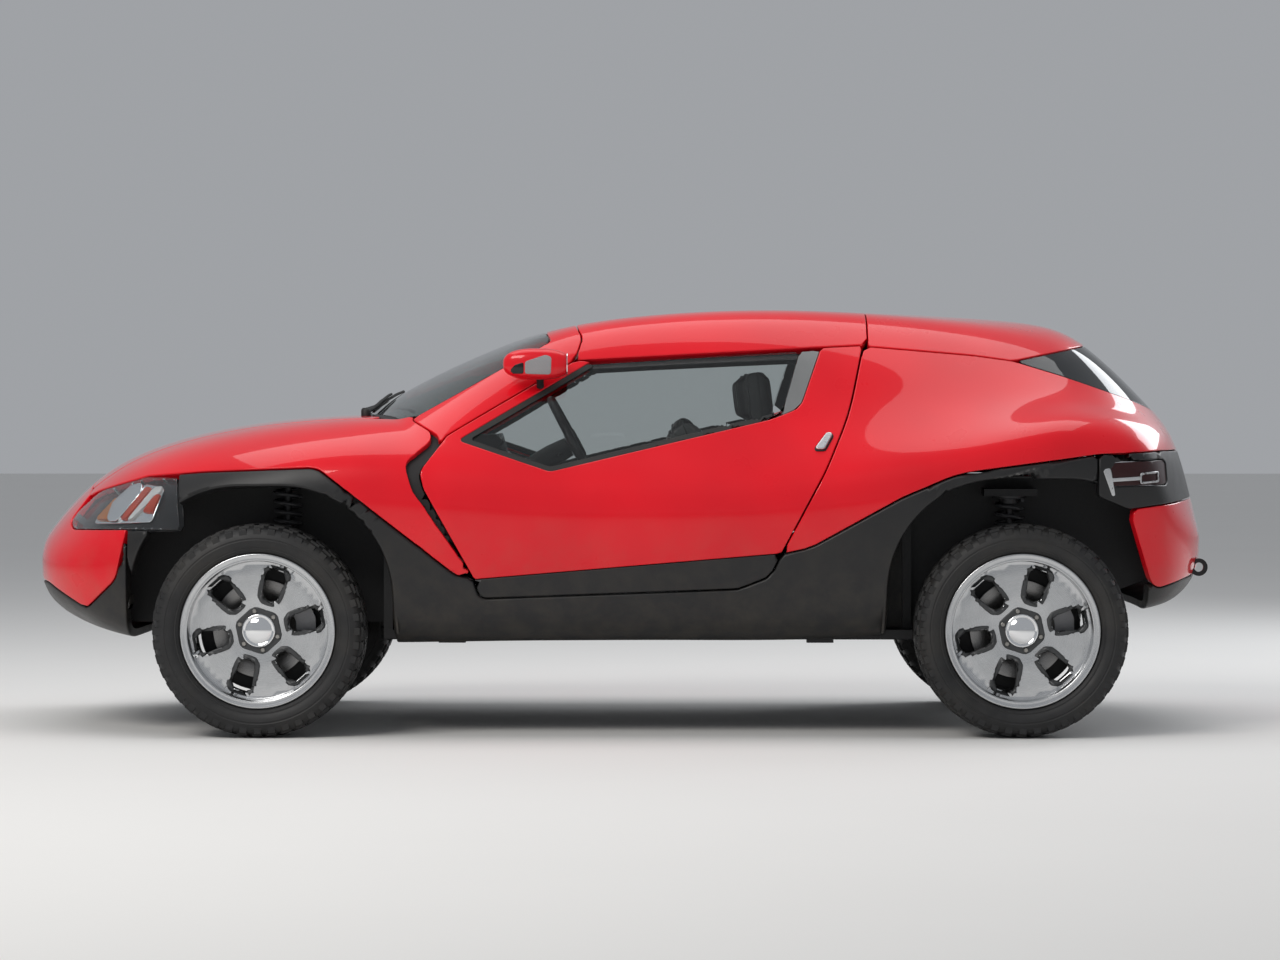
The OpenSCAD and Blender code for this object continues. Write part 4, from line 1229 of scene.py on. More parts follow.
class Shapes:
    """Meshes of turned, swept and extruded pieces; sizes are in millimetres."""

    sharp = math.radians(38)

    @classmethod
    def finish(cls, name: str, bm: bmesh.types.BMesh, smooth: bool = True) -> bpy.types.Mesh:
        """Turns a bmesh in millimetres into a smooth mesh in metres.

        Args:
            name: The mesh's name.
            bm: The shape, which is freed.
            smooth: Whether shallow edges are shaded smooth.

        Returns:
            The mesh.
        """
        bmesh.ops.recalc_face_normals(bm, faces=bm.faces)
        bmesh.ops.scale(bm, vec=(MM, MM, MM), verts=bm.verts)
        mesh = bpy.data.meshes.new(name)
        bm.to_mesh(mesh)
        bm.free()
        if smooth:
            mesh.polygons.foreach_set("use_smooth", [True] * len(mesh.polygons))
            mesh.set_sharp_from_angle(angle=cls.sharp)
        return mesh

    @classmethod
    def lathe(cls, name: str, profile: Sequence[Point], steps: int = 72, at: Point = (0, 0, 0),
              turn: Optional[Matrix] = None) -> bpy.types.Mesh:
        """Turns a closed profile of radius and height about the local Z axis.

        Args:
            name: The mesh's name.
            profile: Pairs of radius and height.
            steps: Steps round the axis.
            at: Place of the axis.
            turn: Rotation of the axis.

        Returns:
            The mesh.
        """
        bm = bmesh.new()
        rows = []
        for k in range(steps):
            c, s = math.cos(2 * math.pi * k / steps), math.sin(2 * math.pi * k / steps)
            rows.append([bm.verts.new((r * c, r * s, h)) for r, h in profile])
        for k in range(steps):
            a, b = rows[k], rows[(k + 1) % steps]
            for j in range(len(profile)):
                i = (j + 1) % len(profile)
                bm.faces.new((a[j], b[j], b[i], a[i]))
        bmesh.ops.remove_doubles(bm, verts=bm.verts, dist=0.01)
        bmesh.ops.dissolve_degenerate(bm, dist=0.005, edges=bm.edges)
        bm.transform(Matrix.Translation(at) @ (turn or Matrix.Identity(4)))
        return cls.finish(name, bm)

    @classmethod
    def prism(cls, name: str, outline: np.ndarray, low: float, high: float, view: View = View.SIDE,
              bevel: float = 4.0, segments: int = 3) -> bpy.types.Mesh:
        """Extrudes an outline across its view, with rounded edges.

        Args:
            name: The mesh's name.
            outline: The corners in the view.
            low: Start across the view.
            high: End across the view.
            view: The view.
            bevel: Radius of the edges.
            segments: Steps of the rounding.

        Returns:
            The mesh.
        """
        bm = bmesh.new()
        a, b = view.value
        ends = []
        for level in (low, high):
            ring = []
            for p in outline:
                v = [0.0, 0.0, 0.0]
                v[a], v[b], v[3 - a - b] = p[0], p[1], level
                ring.append(bm.verts.new(v))
            ends.append(ring)
        caps = [bm.faces.new(ends[0]), bm.faces.new(ends[1][::-1])]
        n = len(outline)
        for k in range(n):
            bm.faces.new((ends[0][k], ends[1][k], ends[1][(k + 1) % n], ends[0][(k + 1) % n]))
        if bevel > 0:
            rim = list({e for f in caps for e in f.edges})
            bmesh.ops.bevel(bm, geom=rim, offset=bevel, segments=segments, profile=0.5, affect="EDGES",
                            clamp_overlap=True)
        return cls.finish(name, bm)

    @classmethod
    def block(cls, name: str, low: Point, high: Point, bevel: float = 6.0) -> bpy.types.Mesh:
        """A box with every edge rounded.

        Args:
            name: The mesh's name.
            low: Its lowest corner.
            high: Its highest corner.
            bevel: Radius of the edges.

        Returns:
            The mesh.
        """
        bm = bmesh.new()
        bmesh.ops.create_cube(bm, size=1.0)
        for v in bm.verts:
            v.co = [(l + h) / 2 + c * (h - l) for c, l, h in zip(v.co, low, high)]
        bmesh.ops.bevel(bm, geom=bm.edges[:], offset=bevel, segments=3, profile=0.5, affect="EDGES",
                        clamp_overlap=True)
        return cls.finish(name, bm)

    @classmethod
    def tube(cls, name: str, path: Sequence[Point], radius: object, sides: int = 16) -> bpy.types.Mesh:
        """A round bar along a path.

        Args:
            name: The mesh's name.
            path: Points of the path.
            radius: One radius, or one for each point.
            sides: Sides of the bar.

        Returns:
            The mesh.
        """
        points = [Vector(p) for p in path]
        radii = [radius] * len(points) if isinstance(radius, (int, float)) else [float(r) for r in radius]
        bm = bmesh.new()
        rings = []
        up = Vector((0.13, 0.21, 0.97))
        for k, (p, r) in enumerate(zip(points, radii)):
            ahead = (points[min(k + 1, len(points) - 1)] - points[max(k - 1, 0)]).normalized()
            x = ahead.cross(up).normalized()
            up = x.cross(ahead).normalized()
            turns = [2 * math.pi * j / sides for j in range(sides)]
            rings.append([bm.verts.new(p + r * (math.cos(t) * x + math.sin(t) * up)) for t in turns])
        for a, b in zip(rings, rings[1:]):
            for j in range(sides):
                bm.faces.new((a[j], a[(j + 1) % sides], b[(j + 1) % sides], b[j]))
        bm.faces.new(rings[0][::-1])
        bm.faces.new(rings[-1])
        return cls.finish(name, bm)

    @staticmethod
    def join(name: str, meshes: Sequence[bpy.types.Mesh]) -> bpy.types.Mesh:
        """One mesh of several.

        Args:
            name: The new mesh's name.
            meshes: The meshes to join.

        Returns:
            The new mesh.
        """
        bm = bmesh.new()
        for mesh in meshes:
            bm.from_mesh(mesh)
        out = bpy.data.meshes.new(name)
        bm.to_mesh(out)
        bm.free()
        return out


def arc(middle: Point, radius: float, start: float, end: float, steps: int = 6) -> list[Point]:
    """Points of an arc in a profile, from one angle to another in degrees."""
    turns = np.radians(np.linspace(start, end, steps + 1))
    return [(middle[0] + radius * math.cos(t), middle[1] + radius * math.sin(t)) for t in turns]


def circle(radius: float, steps: int = 72, middle: Point = (0.0, 0.0)) -> np.ndarray:
    """A round outline."""
    t = np.linspace(0, 2 * math.pi, steps, endpoint=False)
    return np.column_stack([middle[0] + radius * np.cos(t), middle[1] + radius * np.sin(t)])


class Repeat(NodeTree):
    """A geometry node tree with short calls, which ends in real geometry with one material."""

    def __init__(self, name: str, inputs: Sequence[tuple[str, str, object]]) -> None:
        """Starts a tree.

        Args:
            name: The tree's name.
            inputs: Name, socket type and value of each input besides the geometry.
        """
        self.tree = bpy.data.node_groups.new(name, "GeometryNodeTree")
        face = self.tree.interface
        face.new_socket("Geometry", in_out="INPUT", socket_type="NodeSocketGeometry")
        face.new_socket("Geometry", in_out="OUTPUT", socket_type="NodeSocketGeometry")
        self.values = {}
        for key, kind, value in inputs:
            socket = face.new_socket(key, in_out="INPUT", socket_type="NodeSocket" + kind)
            self.values[socket.identifier] = value
        self.start = self.tree.nodes.new("NodeGroupInput").outputs

    def bake(self, mesh: bpy.types.Mesh, geometry: bpy.types.NodeSocket, finish: Finish,
             name: str) -> bpy.types.Mesh:
        """Runs the tree on a mesh and returns a plain mesh.

        Args:
            mesh: The geometry that goes in.
            geometry: The tree's last geometry.
            finish: The finish of what comes out.
            name: Name of the new mesh.

        Returns:
            The plain mesh.
        """
        real = self.node("GeometryNodeRealizeInstances", Geometry=geometry)
        done = self.node("GeometryNodeSetMaterial", Geometry=real, Material=finish.material())
        out = self.tree.nodes.new("NodeGroupOutput")
        self.tree.links.new(done, out.inputs[0])
        holder = bpy.data.objects.new(name + "_seed", mesh)
        bpy.context.scene.collection.objects.link(holder)
        modifier = holder.modifiers.new("repeat", "NODES")
        modifier.node_group = self.tree
        for key, value in self.values.items():
            modifier[key] = value
        bpy.context.view_layer.update()
        ready = holder.evaluated_get(bpy.context.evaluated_depsgraph_get())
        plain = bpy.data.meshes.new_from_object(ready)
        plain.name = name
        holder.modifiers.remove(modifier)
        bpy.data.objects.remove(holder)
        return plain


def round_about(mesh: bpy.types.Mesh, name: str, finish: Finish, count: int,
                start: float = 0.0) -> bpy.types.Mesh:
    """Repeats a mesh about its own Z axis.

    Args:
        mesh: The piece to repeat.
        name: Name of the new mesh.
        finish: Its finish.
        count: Number of pieces round the axis.
        start: Angle of the first in degrees.

    Returns:
        The plain mesh.
    """
    tree = Repeat("round_about", [("Count", "Int", count), ("Start", "Float", math.radians(start))])
    points = tree.node("GeometryNodePoints", Count=tree.start["Count"])
    step = tree.node("ShaderNodeMath", 0, {"operation": "DIVIDE"}, i0=2 * math.pi, i1=tree.start["Count"])
    index = tree.node("GeometryNodeInputIndex")
    angle = tree.node("ShaderNodeMath", 0, {"operation": "MULTIPLY_ADD"}, i0=index, i1=step, i2=tree.start["Start"])
    turn = tree.node("ShaderNodeCombineXYZ", Z=angle)
    ring = tree.node("GeometryNodeInstanceOnPoints", Points=points, Instance=tree.start["Geometry"], Rotation=turn)
    return tree.bake(mesh, ring, finish, name)


def coil(name: str, finish: Finish, at: Point, radius: float, height: float, turns: float,
         wire: float) -> bpy.types.Mesh:
    """A coil spring that stands on a point.

    Args:
        name: Name of the mesh.
        finish: Its finish.
        at: Middle of its foot in millimetres.
        radius: Radius of the coil.
        height: Its height.
        turns: Number of turns.
        wire: Radius of the wire.

    Returns:
        The plain mesh.
    """
    tree = Repeat("coil_spring", [("Radius", "Float", radius * MM), ("Height", "Float", height * MM),
                                  ("Turns", "Float", turns), ("Wire", "Float", wire * MM),
                                  ("Foot", "Vector", tuple(c * MM for c in at))])
    line = tree.node("GeometryNodeCurveSpiral", Resolution=28, Rotations=tree.start["Turns"],
                     Start_Radius=tree.start["Radius"], End_Radius=tree.start["Radius"],
                     Height=tree.start["Height"])
    ring = tree.node("GeometryNodeCurvePrimitiveCircle", 0, None, Resolution=10, Radius=tree.start["Wire"])
    bar = tree.node("GeometryNodeCurveToMesh", Curve=line, Profile_Curve=ring, Fill_Caps=True)
    moved = tree.node("GeometryNodeTransform", Geometry=bar, Translation=tree.start["Foot"])
    smooth = tree.node("GeometryNodeSetShadeSmooth", Geometry=moved)
    return tree.bake(bpy.data.meshes.new(name + "_none"), smooth, finish, name)


def along(name: str, finish: Finish, path: Sequence[Point], pitch: float, size: Point) -> bpy.types.Mesh:
    """Repeats a small bar, such as a stitch or a slat, along a path.

    Args:
        name: Name of the mesh.
        finish: Its finish.
        path: Points of the path in millimetres.
        pitch: Spacing of the bars.
        size: Length along the path and radius of a bar.

    Returns:
        The plain mesh.
    """
    line = bpy.data.meshes.new(name + "_path")
    line.from_pydata([tuple(c * MM for c in p) for p in path], [(k, k + 1) for k in range(len(path) - 1)], [])
    tree = Repeat("stitch_row", [("Pitch", "Float", pitch * MM), ("Length", "Float", size[0] * MM),
                                 ("Radius", "Float", size[1] * MM)])
    curve = tree.node("GeometryNodeMeshToCurve", Mesh=tree.start["Geometry"])
    points_node = tree.tree.nodes.new("GeometryNodeCurveToPoints")
    points_node.mode = "LENGTH"
    tree.tree.links.new(curve, points_node.inputs["Curve"])
    tree.tree.links.new(tree.start["Pitch"], points_node.inputs["Length"])
    bar = tree.node("GeometryNodeMeshCylinder", "Mesh", None, Vertices=6, Radius=tree.start["Radius"],
                    Depth=tree.start["Length"])
    turn = tree.node("FunctionNodeAlignRotationToVector", 0, {"axis": "Z"}, Vector=points_node.outputs["Tangent"])
    row = tree.node("GeometryNodeInstanceOnPoints", Points=points_node.outputs["Points"], Instance=bar,
                    Rotation=turn)
    return tree.bake(line, row, finish, name)


SKIN = BodySurface()
FIXED_GAP = 2.0
DOOR_GROW = 3.0
DOOR_CUT = 8.0
BONNET_GROW = 1.5
BONNET_CUT = 6.5
ABOVE_BELLY = (500.0, 1e6)


def inside(outline: np.ndarray, gap: float = FIXED_GAP, view: View = View.SIDE, reach: Point = EVERYWHERE) -> Line:
    """A line whose inside is kept."""
    return Line(outline, Keep.INSIDE, gap, view, reach)


def outside(outline: np.ndarray, gap: float = FIXED_GAP, view: View = View.SIDE, reach: Point = EVERYWHERE) -> Line:
    """A line whose outside is kept."""
    return Line(outline, Keep.OUTSIDE, gap, view, reach)


def band(outline: np.ndarray, width: float, gap: float = FIXED_GAP) -> list[Line]:
    """The lines that keep a band of one width within an outline."""
    return [inside(outline, gap), outside(outline, -width)]


def sheet(name: str, finish: Finish, lines: Sequence[Line], *nodes: str, body: str = "body", slot: str = "",
          **sizes: object) -> bpy.types.Object:
    """Makes a panel of the car's surface and places it.

    Args:
        name: The piece's name.
        finish: Its finish.
        lines: The outlines that bound it.
        nodes: The nodes that it stands for.
        body: The body that it rides on.
        slot: Passed on to place, which does not use it.
        sizes: Sizes of the panel.

    Returns:
        The piece.
    """
    return place(Panel(SKIN, lines, **sizes).mesh(name), finish, *nodes, body=body, slot=slot)


def mirrored(mesh: bpy.types.Mesh, name: str) -> bpy.types.Mesh:
    """A copy of a mesh on the other side of the car.

    Args:
        mesh: The mesh on one side.
        name: Name of the copy.

    Returns:
        The copy with its faces and normals turned the right way.
    """
    points = np.empty(len(mesh.vertices) * 3, np.float32)
    mesh.vertices.foreach_get("co", points)
    points = points.reshape(-1, 3) * (1, -1, 1)
    normals = np.empty(len(mesh.loops) * 3, np.float32)
    mesh.corner_normals.foreach_get("vector", normals)
    normals = normals.reshape(-1, 3) * (1, -1, 1)
    faces: dict[int, list] = {}
    turned: dict[int, list] = {}
    for p in mesh.polygons:
        corners = list(p.loop_indices)[::-1]
        faces.setdefault(len(corners), []).append([mesh.loops[k].vertex_index for k in corners])
        turned.setdefault(len(corners), []).extend(corners)
    order = [k for size in faces for k in turned[size]]
    return mesh_from_arrays(name, points, [np.array(f) for f in faces.values()], normals[order])


@dataclass
class OuterBody:
    """The fixed outer panels, the bonnet and the glass.

    Attributes:
        seam: Half of the gap between two fixed panels.
        roof_skin: Thickness of the roof panels and of the bar between them.
        bonnet_skin: Thickness of the bonnet.
        roof_only: Heights at which the bar's outline cuts.
        belly: Half width of the open belly between the sills.
        nose_only: Places along the car at which the intake's outline cuts.
        tail_only: Places along the car at which the towing eye's slot cuts.
    """

    seam: float = FIXED_GAP
    roof_skin: float = 34.0
    bonnet_skin: float = 22.0
    roof_only: Point = (1000.0, 1e6)
    belly: float = 700.3
    nose_only: Point = (-2100.0, -1700.0)
    tail_only: Point = (1700.0, 2100.0)

    def red_panels(self) -> None:
        """Wings, nose, windscreen frame, roof, rear body and bumper."""
        red = Finishes.red
        door = outside(ShutLines.door(), DOOR_CUT)
        bonnet = outside(ShutLines.bonnet(), BONNET_CUT, View.PLAN, ABOVE_BELLY)
        wing_inner = outside(ShutLines.wing_inner(), self.seam, View.PLAN, ABOVE_BELLY)
        roof = inside(ShutLines.roof())
        half = ShutLines.t_bar_half
        bar = rounded([(-500, -half), (-500, half), (1000, half), (1000, -half)])
        sheet("wing_skins", red, [inside(ShutLines.wing()), wing_inner, bonnet, door], "wings")
        sheet("nose_skin", red, [inside(ShutLines.nose()), bonnet], "nose_cone")
        sheet("windscreen_frame_skin", red, [inside(ShutLines.frame()), door], "windscreen_frame")
        sheet("roof_skins", red, [roof, outside(bar, self.seam, View.PLAN, self.roof_only), door], "roof_panels",
              thickness=self.roof_skin)
        sheet("roof_bar_skin", red, [roof, inside(bar, self.seam, View.PLAN, self.roof_only)], "t_bar",
              thickness=self.roof_skin)
        sheet("rear_roof_skin", red, [inside(ShutLines.rear_roof())], "rear_roof")
        sheet("rear_body_skin", red, [inside(ShutLines.rear_body()), door], "rear_body")
        sheet("rear_bumper_skin", red, [inside(ShutLines.bumper()), self.tow_slot()], "rear_bumper")
        sheet("bonnet_skin", red, [inside(ShutLines.bonnet(), -BONNET_GROW, View.PLAN, ABOVE_BELLY)], "bonnet",
              body="bonnet", thickness=self.bonnet_skin)

    def tow_slot(self) -> Line:
        """The slot of the towing eye, seen from behind."""
        corners = [(-444, 516, 8), (-416, 516, 8), (-416, 588, 8), (-444, 588, 8)]
        return outside(rounded(corners), 0.0, View.FRONT, self.tail_only)

    def black_panels(self) -> None:
        """Cladding, aprons, cowl and tail panel."""
        black = Finishes.cladding
        door = outside(ShutLines.door(), DOOR_CUT)
        bonnet = outside(ShutLines.bonnet(), BONNET_CUT, View.PLAN, ABOVE_BELLY)
        y = self.belly
        belly = outside(np.array([(-3000, -y), (3000, -y), (3000, y), (-3000, y)]), 0.0, View.PLAN, (-100.0, 1000.0))
        wells = [outside(well, 0.0) for well in ShutLines.wells().values()]
        sheet("side_cladding", black, [inside(ShutLines.cladding()), door, belly, *wells], "cladding", roll=9.0)
        intake = rounded([(-360, 400, 24), (360, 400, 24), (360, 488, 24), (-360, 488, 24)])
        sheet("front_apron_skin", black,
              [inside(ShutLines.apron_front()), outside(intake, 0.0, View.FRONT, self.nose_only)], "front_apron",
              roll=6.0)
        sheet("cowl_strip", Finishes.inner_black, [inside(ShutLines.cowl(), 0.5, View.PLAN, ABOVE_BELLY), bonnet],
              "cowl", slot="black_cladding", sink=3.0, roll=2.0)
        sheet("tail_panel_skin", black, [inside(ShutLines.tail()), outside(ShutLines.tail_lamp(), 2.0)],
              "tail_panel")
        sheet("rear_apron_skin", black, [inside(ShutLines.apron_rear()), self.tow_slot()], "rear_apron")

    def glass(self) -> None:
        """Windscreen and rear window."""
        screen = [inside(ShutLines.windscreen(), self.seam),
                  inside(ShutLines.screen_plan(), 1.0, View.PLAN, ABOVE_BELLY)]
        sheet("windscreen_glass", Finishes.screen, screen, "windscreen", thickness=6.0, sink=3.0, roll=1.5,
              cell=30.0)
        sheet("rear_window_glass", Finishes.dark_glass, [inside(ShutLines.visor(), self.seam)], "rear_window",
              thickness=8.0, sink=2.0, roll=2.0)

    def build(self) -> None:
        """Makes every outer panel."""
        self.red_panels()
        self.black_panels()
        self.glass()


class Bulge(Surface):
    """The outer side of a mirror housing on the left: u and v are x and z."""

    step = 0.5
    power = 2 / 0.78

    def __init__(self, middle: Point, half: Point) -> None:
        """Keeps the housing's middle and half sizes."""
        self.middle, self.half = middle, half

    def points(self, u: np.ndarray, v: np.ndarray) -> np.ndarray:
        """Points of the housing's outer side.

        Args:
            u, v: Places along the car and up, one pair a point.

        Returns:
            An array of x, y, z rows.
        """
        x = np.abs((u - self.middle[0]) / self.half[0]) ** self.power
        z = np.abs((v - self.middle[2]) / self.half[2]) ** self.power
        out = np.maximum(1 - x - z, 0.0) ** (1 / self.power)
        return np.column_stack([u, -self.middle[1] - self.half[1] * out, v])

    def lines(self, cell: float) -> tuple[np.ndarray, np.ndarray]:
        """Square grid lines over the housing."""
        ends = [(self.middle[k] - self.half[k], self.middle[k] + self.half[k]) for k in (0, 2)]
        return tuple(np.arange(low, high, cell) for low, high in ends)


@dataclass
class Door:
    """One door with its glass, pillar trim, handle, inner card and mirror.

    Attributes:
        side: The side of the car.
        skin: Thickness of the outer skin.
        fine: Grid cell of the sheets that have sharp corners.
        small: Grid cell of the small fittings.
        glass_sink: Depth of the glass below the body's surface.
        glass: Thickness of the glass.
        card_depth: Thickness of the inner card.
        card_face: Distance of the card's inner face from the middle of the car.
        mirror_middle: Middle of the mirror's housing.
        mirror_half: Half sizes of the housing.
        mirror_cut: How much of the housing's rear end is cut flat.
    """

    side: Side
    skin: float = 12.0
    fine: float = 19.0
    small: float = 7.0
    glass_sink: float = 8.0
    glass: float = 6.0
    card_depth: float = 62.0
    card_face: float = 700.0
    mirror_middle: Point = (-272.0, 745.0, 1244.0)
    mirror_half: Point = (114.0, 46.0, 53.0)
    mirror_cut: float = 14.0

    glass_zone = [(-700, 700), (450, 700), (450, 1035), (552, 1090, 50), (614, 1293), (-130, 1246), (-700, 1246)]
    trim_zone = [(450.6, 1000), (450.6, 1034), (553, 1089, 50), (615, 1293), (760, 1299), (760, 1000)]
    card = [(-466, 524, 20), (-466, 955, 20), (500, 996, 60), (718, 1286, 30), (746, 1286, 10), (636, 930),
            (478, 644, 40), (368, 524, 40)]
    handle_outline = [(655, 955, 5), (698, 1010, 6), (722, 1010, 8), (690, 955, 8)]
    armrest = [(-330, 716, 14), (-330, 748, 14), (210, 768, 14), (240, 728, 14)]
    lens_outline = [(-311, 1211, 6), (-311, 1252, 6), (-242, 1275, 8), (-222, 1268, 10), (-224, 1208, 10)]
    patch_outline = [(-362, 1222, 5), (-346, 1240, 8), (-315, 1251, 5), (-315, 1211, 5), (-352, 1211, 8)]

    @property
    def body(self) -> str:
        """The body that the door's pieces ride on."""
        return "door_" + self.side.word

    def panel(self, word: str, finish: Finish, lines: Sequence[Line], *nodes: str, **sizes: object) -> None:
        """Makes one sheet of the door on its own side of the car."""
        sheet(f"{word}_{self.side.word}", finish, lines, *nodes, body=self.body, side=self.side, **sizes)

    def add(self, mesh: bpy.types.Mesh, finish: Finish, *nodes: str, slot: str = "") -> None:
        """Adds the side's name to a mesh and places it on the door."""
        mesh.name = f"{mesh.name}_{self.side.word}"
        place(mesh, finish, *nodes, body=self.body, slot=slot)

    def sheets(self) -> None:
        """Outer skin, black foot, glass with its seal, pillar trim, handle and inner card."""
        door = inside(ShutLines.door(), -DOOR_GROW)
        window = rounded(ShutLines.window)
        foot = ShutLines.door_foot()
        zone = inside(rounded(self.glass_zone), 0.5)
        trim = [inside(window, 1.5), inside(rounded(self.trim_zone), 0.5)]
        grip = rounded(self.handle_outline)
        self.panel("door_skin", Finishes.red, [door, outside(window, 0.0), outside(foot, 1.0)], self.body,
                   thickness=self.skin, cell=self.fine)
        self.panel("door_foot", Finishes.cladding, [door, inside(foot, 0.5)], thickness=self.skin, roll=5.0)
        self.panel("door_glass", Finishes.tinted, [inside(window, 1.0), zone], self.body + "_glass",
                   thickness=self.glass, sink=self.glass_sink, roll=1.5, cell=24.0)
        self.panel("door_glass_seal", Finishes.seal, [*band(window, 20.0, 0.0), zone], thickness=5.0, sink=2.5,
                   roll=1.5, cell=self.fine)
        self.panel("pillar_trim", Finishes.grey_satin, trim, self.body + "_trim", thickness=self.skin - 3.0,
                   sink=3.0, roll=2.0)
        self.panel("handle_gasket", Finishes.seal, [inside(grip, -4.0)], thickness=3.0, sink=-3.0, roll=1.0,
                   cell=self.small)
        self.panel("door_handle", Finishes.satin, [inside(grip, 0.0)], thickness=10.0, sink=-13.0, roll=4.0,
                   cell=self.small)
        self.panel("door_card", Finishes.hide, [inside(rounded(self.card), 0.0), outside(window, 4.0)],
                   thickness=self.card_depth, sink=self.skin + 1.0, roll=8.0, cell=40.0)

    def fittings(self) -> None:
        """Armrest, pull and a row of stitches on the inner card."""
        s, y = self.side.value, self.card_face
        low, high = sorted((s * (y + 42), s * y))
        self.add(Shapes.prism("armrest", rounded(self.armrest), low, high, View.SIDE, 12.0), Finishes.hide_grey)
        row = [(x, s * (y - 1), 752 + (x + 330) * 20 / 540) for x in np.linspace(-310, 190, 40)]
        self.add(along("armrest_stitches", Finishes.thread, row, 7.0, (4.0, 0.9)), Finishes.thread)
        pull = [(-120, s * (y + 15), 850), (-116, s * (y + 3), 856), (-60, s * y, 860), (-4, s * (y + 3), 862),
                (0, s * (y + 15), 858)]
        self.add(Shapes.tube("inner_pull", pull, 8.0), Finishes.satin)

    def mirror(self) -> None:
        """Rounded housing with flat mirror glass at its rear, lenses in its side and its stalk."""
        s = self.side.value
        mid = (self.mirror_middle[0], s * self.mirror_middle[1], self.mirror_middle[2])
        flat = mid[0] + self.mirror_half[0] - self.mirror_cut
        bm = bmesh.new()
        bmesh.ops.create_uvsphere(bm, u_segments=48, v_segments=28, radius=1.0)
        for v in bm.verts:
            swell = [math.copysign(abs(c) ** 0.78, c) for c in v.co]
            v.co = [m + c * h for m, c, h in zip(mid, swell, self.mirror_half)]
            v.co.x = min(v.co.x, flat)
        self.add(Shapes.finish("mirror_shell", bm), Finishes.red, "mirror_" + self.side.word)
        across, up = circle(self.mirror_half[1], 40)[:, 0], circle(self.mirror_half[2], 40)[:, 1]
        oval = np.column_stack([mid[1] + 0.66 * across, mid[2] + 0.72 * up])
        self.add(Shapes.prism("mirror_glass", oval, flat + 0.3, flat + 3.0, View.FRONT, 0.8), Finishes.mirror)
        bulge = Bulge(self.mirror_middle, self.mirror_half)
        for word, finish, corners in (("mirror_lens", Finishes.grey_lens, self.lens_outline),
                                      ("mirror_patch", Finishes.gloss_black, self.patch_outline)):
            lens = Panel(bulge, [inside(rounded(corners), 0.0)], thickness=4.0, sink=-1.0, roll=1.5, cell=self.small)
            mesh = lens.mesh(word) if self.side is Side.LEFT else mirrored(lens.mesh(word + "_source"), word)
            self.add(mesh, finish, slot="clear_glass")
        stalk = [(-262, s * 738, 1205), (-262, s * 722, 1186), (-262, s * 705, 1170)]
        self.add(Shapes.tube("mirror_stalk", stalk, [15.0, 12.0, 13.0]), Finishes.inner_black)

    def build(self) -> None:
        """Makes the whole door."""
        self.sheets()
        self.fittings()
        self.mirror()


@dataclass
class Vents:
    """Black liner at the bottom of the air groove between each wing and door."""

    depth: float = 20.0

    def build(self) -> None:
        """Makes the liners."""
        groove = np.vstack([rounded(ShutLines.wing_rear), rounded(ShutLines.door_front[:-1])[::-1]])
        sheet("vent_liners", Finishes.inner_black, [inside(groove, -14.0), outside(ShutLines.door(), 9.0)],
              thickness=6.0, sink=self.depth, roll=1.0)


def flipped(profile: Sequence[Point]) -> list[Point]:
    """A profile on the other side of the wheel's middle plane, in reverse order."""
    return [(a, -b) for a, b in reversed(profile)]


